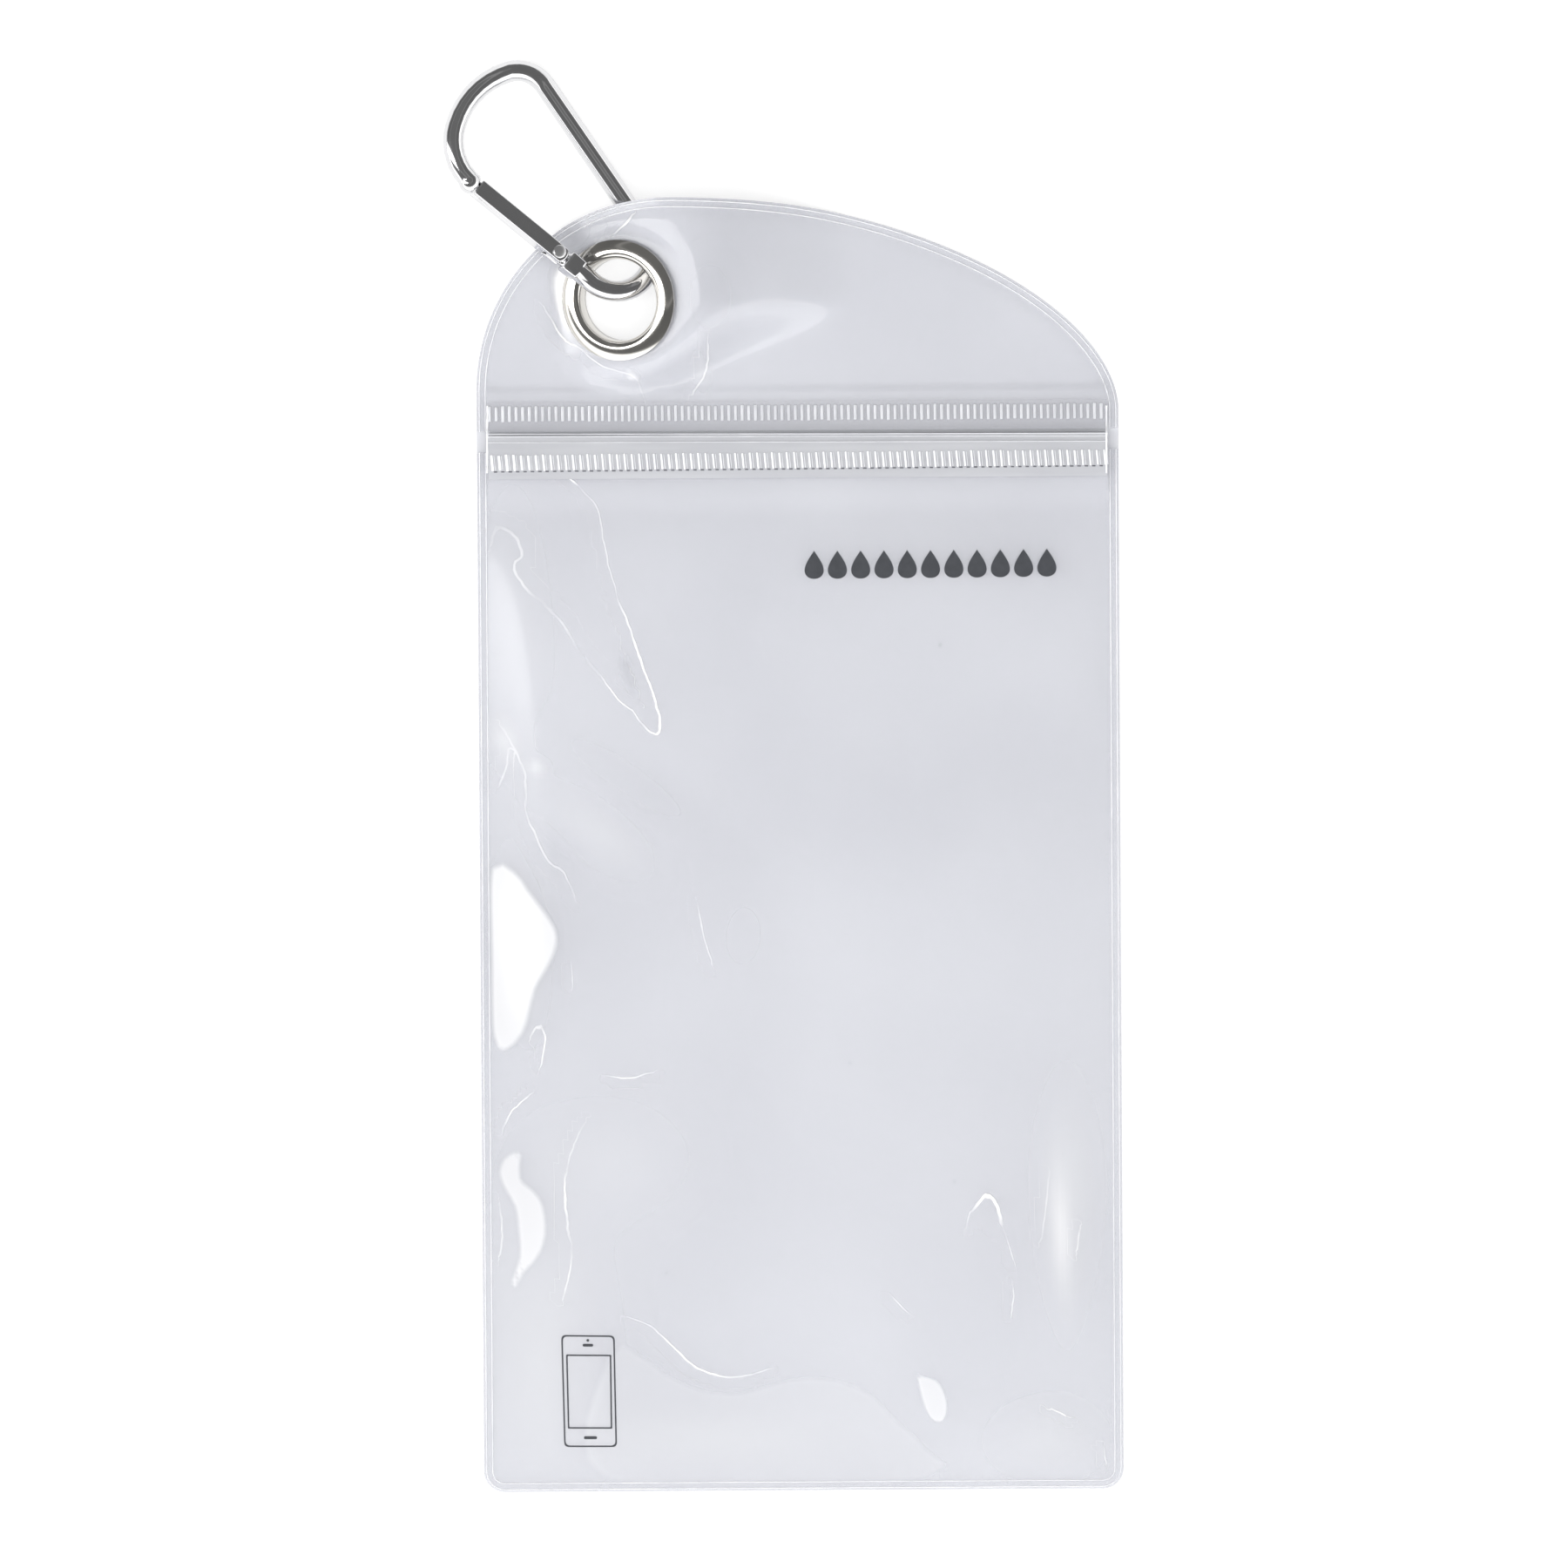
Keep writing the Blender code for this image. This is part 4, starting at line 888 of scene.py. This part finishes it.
def polished(name, colour, roughness):
    """Plated metal: almost a mirror, with faint rubbed patches and fine scratches."""
    m, tree, where = new_material(name, Metallic=1.0, Roughness=roughness)
    patch = noise(tree, where, 240.0, 2.0)
    connect(m, "Base Color", mix_colour(tree, patch, tuple(c * 0.9 for c in colour), colour))
    scratch = noise(tree, stretched(tree, where, (1.0, 0.08, 0.3)), 5200.0, 2.0)
    connect(m, "Roughness", patch * 0.10 + (roughness - 0.03))
    connect(m, "Normal", bump(tree, scratch * (0.0015 * MM) + patch * (0.004 * MM)))
    return m


def ink(name, low, high):
    m, tree, where = new_material(name, Roughness=0.45)
    cloud = noise(tree, where, 700.0)
    connect(m, "Base Color", mix_colour(tree, cloud, low, high))
    return m


# Films and their welds

def make_films(looks):
    hole = arc(EYELET_X, EYELET_Y, FILM_HOLE, 0, 360, 64)[:-1]
    rows = edge_rows(REAR_GRID) + eyelet_rows(REAR_GRID)
    mesh = film_mesh("rear_film", outline(0), [hole], rows, rear_film_height, REAR_GRID)
    new_object("rear_film", mesh, "pouch", looks["milky"], ("rear_panel",))
    over_flange = [ZIP_Y + UPPER_FLANGE + EASE * i for i in (0, 0.5, 1, 1.5, 2)]
    rows = edge_rows(GRID, y_low=FLAP_EDGE_Y, extra=over_flange) + eyelet_rows(GRID)
    mesh = film_mesh("flap_film", outline(0, y_low=FLAP_EDGE_Y), [hole], rows, flap_height, GRID,
                     (FLAP_CREASES, FLAP_PAINTED_GLARE, FLAP_PAINTED_LIGHT_AND_SHADE, FLAP_LEVEL))
    new_object("flap_film", mesh, "pouch", looks["clear"], ("flap_layer",))
    rows = edge_rows(GRID, y_high=PANEL_EDGE_Y)
    mesh = film_mesh("pocket_film", outline(0, y_high=PANEL_EDGE_Y), [], rows, panel_height, GRID,
                     (PANEL_CREASES, PANEL_PAINTED_GLARE, PANEL_PAINTED_LIGHT_AND_SHADE, POCKET_LEVEL))
    new_object("pocket_film", mesh, "pouch", looks["clear"], ("front_panel",))


def rim_run(inset, height, low=None, high=None):
    """The outline's own run above or below the zip, lifted onto a film's upper side."""
    loop = outline(inset, y_low=low, y_high=high)
    cut = low if low is not None else high
    across = np.flatnonzero((np.abs(loop[:, 1] - cut) < 1e-6)
                            & (np.abs(loop[:, 0]) < HALF_WIDTH - inset - 1e-6))
    if len(across):
        loop = np.concatenate([loop[across.max() + 1:], loop[:across.min()]])
    return np.column_stack([loop, height(*loop.T) + FILM])


def add_beads(name, tree, runs, material, radius, lumps, sides=8, lump_size=700.0, seed=1.0):
    """Beads along the runs; radius and lumps in mm."""
    values = {"Radius": radius * MM, "Sides": sides, "Lumps": lumps * MM, "Lump size": lump_size,
              "Seed": seed, "Material": material}
    mesh = grown(name, tree, path_mesh(runs), values)
    mesh.shade_smooth()
    new_object(name, mesh, "pouch")


def make_rim(looks, bead):
    """Two fine beads that the welding tool leaves along the rim."""
    runs = []
    for inset in (0.45 * MM, 1.5 * MM):
        runs.append(rim_run(inset, flap_height, low=FLAP_EDGE_Y))
        runs.append(rim_run(inset, panel_height, high=PANEL_EDGE_Y))
    add_beads("rim_beads", bead, runs, looks["bead"], 0.085, 0.05,
              lump_size=500.0, seed=3.0)


# Zip

def make_zip(looks, bead, row):
    for node in ("zip_groove_strip", "zip_rib_strip"):
        name = node.replace("zip", "closure")
        mesh = welded_mesh(name, node, 30)
        co = coordinates(mesh)
        ends = np.abs(co[:, 0]) > ZIP_END - 2 * MM
        co[ends, 0] = np.sign(co[ends, 0]) * ZIP_END
        mesh.vertices.foreach_set("co", co.astype(np.float32).ravel())
        mesh.update()
        new_object(name, mesh, "pouch", looks["zip"], (node,))
    over_flap = LAYER + ZIP_BASE + GAP + FILM
    for name, look, *measures in (
            ("upper_weld_bars", "soft bar", (563, 475.5), (1262, 471.5), 93, over_flap,
             (0.50, 2.65, 0.14, 0.12), 0.0, 0.0),
            ("lower_weld_bars", "bar", (566, 531.5), (1266, 524.6), 84, ZIP_TOP,
             (0.34, 2.75, 0.16, 0.10), 5.0, 0.4),
            ("faint_weld_bars", "soft bar", (569, 531.5), (1269, 524.6), 84, ZIP_TOP,
             (0.16, 2.6, 0.08, 0.05), 5.0, 0.0),
            # dark dashes of painted shade at the feet of the lower weld bars
            ("weld_foot_marks", "shade", (570, 541.8), (1262, 534.6), 83, ZIP_TOP,
             (0.60, 0.22, 0.12, 0.04), 0.0, 0.0)):
        bar_row(name, row, looks[look], *measures)
    runs = []
    for left, right in ((498.6, 497.2), (501.6, 500.0), (508.0, 506.2)):
        a, b = (np.array((*from_photo(*p, ZIP_TOP), ZIP_TOP)) for p in ((560, left), (1270, right)))
        runs.append([a + (b - a) * i / RIDGE_STEPS for i in range(RIDGE_STEPS + 1)])
    add_beads("zip_ridges", bead, runs, looks["soft bar"], 0.09, 0.06)
    runs = []
    for px in (560.5, 1268.0):
        places = [from_photo(px, py, ZIP_FRONT_Z) for py in np.arange(466, 544, 3.5)]
        runs.append([(x, y, ZIP_TOP if y < FLAP_EDGE_Y else over_flap) for x, y in places])
    add_beads("melted_zip_ends", bead, runs, looks["bead"], 0.16, 0.36, sides=10)


def bar_row(name, tree, material, first, last, count, z, size, lean, wider):
    """A row of welded bars between two points of the photograph; size in mm."""
    width, length, height, rounding = (s * MM for s in size)
    a, b = (Vector((*from_photo(*p, z), z - LIFT)) for p in (first, last))
    values = {"Count": count, "Start": a, "Pitch": (b - a) / (count - 1), "Lean": math.radians(lean),
              "Uneven": BAR_SPREAD, "Start width": wider, "Start run": BAR_RUN, "Seed": 7,
              "Material": material}
    mesh = grown(name, tree, bar_mesh(width, length, height, rounding), values)
    new_object(name, mesh, "pouch")


# Prints

def ink_mesh(name, shapes):
    """Shapes printed on the pocket's film: a loop and a line width, or 0 for a filled loop."""
    bm = bmesh.new()
    for loop, line in shapes:
        outer = points = resample(loop, INK_STEP)
        count = len(outer)
        if line:
            centre = (outer.max(axis=0) + outer.min(axis=0)) / 2
            size = outer.max(axis=0) - outer.min(axis=0)
            points = np.concatenate([outer, centre + (outer - centre) * (1 - 2 * line / size)])
        z = panel_height(*points.T) + FILM + LIFT
        made = [bm.verts.new(co) for co in zip(*points.T, z)]
        if line:
            for i in range(count):
                j = (i + 1) % count
                bm.faces.new((made[i], made[j], made[count + j], made[count + i]))
        else:
            bm.faces.new(made)
    bm.normal_update()
    for face in bm.faces:
        if face.normal.z < 0:
            face.normal_flip()
    bmesh.ops.triangulate(bm, faces=bm.faces)
    return thickened(name, finished(name, bm), INK)


def rounded_box(corners, radius):
    """A four-cornered loop, counter-clockwise, its corners rounded."""
    out = []
    corners = np.array(corners)
    for i, corner in enumerate(corners):
        sides = corners[i - 1] - corner, corners[(i + 1) % 4] - corner
        a, b = (corner + side / np.linalg.norm(side) * radius for side in sides)
        for t in np.linspace(0, 1, 7):
            out.append((1 - t) ** 2 * a + 2 * t * (1 - t) * corner + t ** 2 * b)
    return np.array(out)


def drop_shape(width, length):
    """A water drop, its tip up."""
    t = np.linspace(0, math.tau, 40, endpoint=False)
    x = width / 2 * np.sin(t) * np.sin(t / 2) ** 1.3 * 1.25
    y = length / 2 * np.cos(t)
    return np.stack([x, y], axis=1)[::-1]


def make_prints(looks):
    """A row of drops and the outline of a plain handset, printed on the pocket's film."""
    left, right = (np.array(from_photo(*p, DROP_LEVEL)) for p in ((934, 649), (1200, 647)))
    drop = drop_shape(3.6 * MM, 4.8 * MM)
    drops = [(drop + left + (right - left) * i / 10, 0) for i in range(11)]
    mesh = ink_mesh("drop_row", drops)
    new_object("drop_row", mesh, "pouch", looks["ink"])

    def placed(*points):
        return [from_photo(*p, HANDSET_LEVEL) for p in points]
    line = 1.7 * PIXEL
    body = placed((644.4, 1532.5), (647.8, 1662.6), (708.2, 1662.3), (705.6, 1532.5))
    screen = placed((650, 1555), (652, 1641), (702.8, 1640.8), (701.7, 1554.8))
    shapes = [(rounded_box(body, 5.7 * PIXEL), line), (rounded_box(screen, 0.8 * PIXEL), line)]
    for px, py, wide, tall in ((675, 1544, 12, 3.2), (677.8, 1651.5, 15, 3.4)):
        (x, y), w, h = placed((px, py))[0], wide * PIXEL / 2, tall * PIXEL / 2
        corners = [(x - w, y + h), (x - w, y - h), (x + w, y - h), (x + w, y + h)]
        shapes.append((rounded_box(corners, h * 0.95), 0))
    shapes.append((arc(*placed((674.9, 1538.4))[0], 1.6 * PIXEL, 0, 360, 16)[:-1], 0))
    mesh = ink_mesh("handset_mark", shapes)
    new_object("handset_mark", mesh, "pouch", looks["ink"])


# Metal

def welded_mesh(name, node, angle):
    """A CAD node's own shape, with its corners welded and its faces shaded smooth."""
    bm = bmesh.new()
    bm.from_mesh(frame["nodes"][node].data)
    bmesh.ops.remove_doubles(bm, verts=bm.verts, dist=2e-6)
    obj = new_object(name, smoothed(finished(name, bm), angle))
    shading = obj.modifiers.new("Even shading", "WEIGHTED_NORMAL")
    shading.keep_sharp = True
    return baked(obj)


def turned_ring(name, profile, sides, matrix):
    """A closed profile of radius and height turned about Z."""
    bm = bmesh.new()
    rings = []
    for i in range(sides):
        c, s = math.cos(math.tau * i / sides), math.sin(math.tau * i / sides)
        rings.append([bm.verts.new(matrix @ Vector((r * c, r * s, z))) for r, z in profile])
    for a, b in zip(rings, rings[1:] + rings[:1]):
        for i in range(len(profile)):
            j = (i + 1) % len(profile)
            bm.faces.new((a[i], a[j], b[j], b[i]))
    bmesh.ops.recalc_face_normals(bm, faces=bm.faces)
    return smoothed(finished(name, bm), 40)


def eyelet_profile():
    """Flange that rises steeply from the hole and falls away gently, barrel and rolled rear edge."""
    crown = EYELET_HOLE + EYELET_CREST
    outer = EYELET_FLANGE - crown
    dome = [(crown - EYELET_CREST * math.cos(a), EYELET_SEAT + EYELET_DOME * math.sin(a))
            for a in np.radians(np.linspace(0, 90, 16))]
    fall = EYELET_DOME - EYELET_EDGE
    dome += [(crown + outer * t, EYELET_SEAT + EYELET_DOME - fall * t * t)
             for t in np.linspace(0.07, 1, 16)]
    inner = [(r - EYELET_SHEET * 0.5 if r > crown else max(r, EYELET_HOLE + EYELET_SHEET),
              max(z - EYELET_SHEET, EYELET_SEAT)) for r, z in dome[::-2]]
    low = -(2 * GAP + EYELET_SHEET)
    barrel = EYELET_HOLE + EYELET_SHEET
    rolled = [(EYELET_HOLE + EYELET_CURL * (1 + math.cos(a)), low + EYELET_SHEET * math.sin(a))
              for a in np.radians(np.linspace(360, 180, 9))]
    return (dome + [(EYELET_FLANGE, EYELET_SEAT)] + inner[1:-1]
            + [(barrel, low), (barrel + EYELET_CURL, low)] + rolled[1:])


def make_metal(looks):
    tilt = Matrix.Translation((EYELET_X, EYELET_Y, EYELET_Z)) @ Matrix.Rotation(-EYELET_TILT, 4, "Y")
    mesh = turned_ring("eyelet_ring", eyelet_profile(), 120, tilt)
    new_object("eyelet_ring", mesh, "pouch", looks["nickel"], ("eyelet",))
    for name, node, body, slot, look, angle in (
            ("rear_washer", "eyelet_washer", "pouch", "nickel", "nickel", 38),
            ("hook_body", "clip_body", "clip", "polished_steel", "steel", 38),
            ("hook_gate", "clip_gate", "gate", "polished_steel", "steel", 38),
            ("gate_rivet", "gate_pivot", "clip", "polished_steel", "rivet", 38),
            ("plunger_pin", "gate_plunger", "plunger", "spring_steel", "spring", 38),
            ("coil_spring", "gate_spring", "gate", "spring_steel", "spring", 60)):
        new_object(name, welded_mesh(name, node, angle), body, looks[look], (node,))
    joints = {joint["name"]: joint for joint in frame["joints"]}
    hinge, slide = joints["gate_hinge"], joints["plunger_slide"]
    pivot, along = Vector(hinge["pos_m"]), Vector(slide["axis"])
    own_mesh(bpy.data.objects["coil_spring"], "plunger_slide", along, pivot + along * SPRING_END,
              keep=1 - slide["range_m"][1] / SPRING_LENGTH)
    centre = pivot + along * NOSE_REACH
    turn = Vector((0, 0, 1)).rotation_difference(along).to_matrix().to_4x4()
    mesh = turned_ring("nose_ball", ball_profile(), 56, Matrix.Translation(centre) @ turn)
    new_object("nose_ball", mesh, "clip", looks["steel"])


def ball_profile():
    """The nose's ball with its face towards the gate cut flat, hollow along its axis."""
    face = math.acos(-NOSE_FLAT / NOSE_RADIUS)
    angles = np.linspace(0.03, face, 28)
    outer = [(NOSE_RADIUS * math.sin(a), NOSE_RADIUS * math.cos(a)) for a in angles]
    inner = 0.03 * NOSE_RADIUS
    return outer + [(inner, -NOSE_FLAT), (inner, outer[0][1])]


# Stage

CAMERA_HEIGHT = 5.0
VIEW_HALF = 134.53 * MM
VIEW_CENTRE = (-2.7 * MM, 10.33 * MM, 1.5 * MM)


def make_camera():
    data = bpy.data.cameras.new("camera")
    data.sensor_width = 36
    data.lens = data.sensor_width / 2 * CAMERA_HEIGHT / VIEW_HALF
    data.clip_start, data.clip_end = 0.05, 10
    camera = new_object("camera", data)
    turn = Matrix.Rotation(-LEAN, 3, "Z") @ Matrix.Rotation(-CAMERA_TILT, 3, "X")
    camera.location = Vector(VIEW_CENTRE) + turn @ Vector((0, 0, CAMERA_HEIGHT))
    camera.rotation_euler = turn.to_euler()
    bpy.context.scene.camera = camera


def add_lamp(name, place, size, power, mirrored):
    """A rectangular softbox that faces the pouch; gloss shows it only if mirrored."""
    data = bpy.data.lights.new(name, "AREA")
    data.shape = "RECTANGLE"
    data.size, data.size_y = size
    data.energy = power
    lamp = new_object(name, data)
    lamp.location = place
    lamp.rotation_euler = (Vector((0, 0, 0)) - Vector(place)).to_track_quat("-Z", "Y").to_euler()
    lamp.visible_glossy = mirrored


def make_world():
    """Dark overhead with a thin light strip, bright low down on the side of the pouch's foot."""
    world = bpy.data.worlds.new("studio")
    bpy.context.scene.world = world
    world.use_nodes = True
    tree = world.node_tree
    tree.nodes.clear()
    right, back, up = split_xyz(tree, make(tree, "ShaderNodeTexCoord", {}, "Generated"))
    height = (up + back * 0.5 - right * 0.15) * (1 / 1.5)
    ramp = make(tree, "ShaderNodeValToRGB", {"Fac": height}, stops=(
        (0.0, 1.9), (0.21, 1.9), (0.29, 0.16), (0.61, 0.145), (0.63, 0.36), (0.65, 0.17), (1.0, 0.17)))
    rim = 1.0 - (up * 5.0).clamp()
    lined = mix_colour(tree, rim * 0.85, ramp, (0.25, 0.25, 0.25))
    colour = mix_colour(tree, ray_is(tree, "Camera"), lined, (1.0, 1.0, 1.0))
    end_tree(tree, "ShaderNodeOutputWorld", make(tree, "ShaderNodeBackground", {"Color": colour}))


def make_floor():
    bm = bmesh.new()
    bmesh.ops.create_grid(bm, x_segments=1, y_segments=1, size=6.0)
    floor = new_object("floor", finished("floor", bm))
    floor.location = (0, 0, -0.05 * MM)
    m = bpy.data.materials.new("white table")
    m.use_nodes = True
    tree = m.node_tree
    tree.nodes.clear()
    seen = ray_is(tree, "Camera", "Glossy", "Transmission")
    plain = make(tree, "ShaderNodeBsdfDiffuse", {"Color": (0.8, 0.8, 0.8)})
    soft = make(tree, "ShaderNodeBsdfDiffuse", {"Color": (0.35, 0.35, 0.35)})
    glow = make(tree, "ShaderNodeEmission", {"Color": (1.0, 1.0, 1.0), "Strength": 0.72})
    both = make(tree, "ShaderNodeAddShader", {0: soft, 1: glow})
    mixed = make(tree, "ShaderNodeMixShader", {0: seen, 1: plain, 2: both})
    end_tree(tree, "ShaderNodeOutputMaterial", mixed)
    floor.data.materials.append(m)


bpy.context.scene.view_settings.view_transform = "Standard"
looks = {
    "milky": milky_film(),
    "clear": clear_film("clear film", 0.3),
    "zip": zip_plastic("zip plastic", 0.6, srgb(204, 205, 210), srgb(220, 221, 225)),
    "bead": weld_bead("weld bead", srgb(232, 233, 237), srgb(252, 252, 254)),
    "bar": weld_bead("crisp weld bar", srgb(238, 239, 243), srgb(255, 255, 255)),
    "soft bar": weld_bead("soft weld bar", srgb(204, 205, 210), srgb(226, 227, 231)),
    # painted shade for the dark dashes at the weld bars' feet
    "shade": ink("painted shade at weld feet", srgb(74, 75, 82), srgb(118, 119, 126)),
    "nickel": polished("polished nickel", (0.74, 0.72, 0.68), 0.10),
    "steel": polished("polished steel", (0.78, 0.78, 0.79), 0.09),
    "rivet": polished("satin rivet", (0.84, 0.84, 0.85), 0.34),
    "spring": polished("spring wire", (0.55, 0.55, 0.57), 0.25),
    "ink": ink("dark ink", srgb(56, 58, 63), srgb(72, 74, 79)),
}
bead, row = bead_tree(), row_tree()
make_camera()
make_films(looks)
make_rim(looks, bead)
make_zip(looks, bead, row)
make_prints(looks)
make_metal(looks)
make_world()
make_floor()
add_lamp("overhead softbox", (0.0, 0.0, 1.6), (1.8, 1.8), 21.0, False)
add_lamp("left softbox", (-0.9, 0.1, 0.7), (0.3, 1.2), 5.0, True)
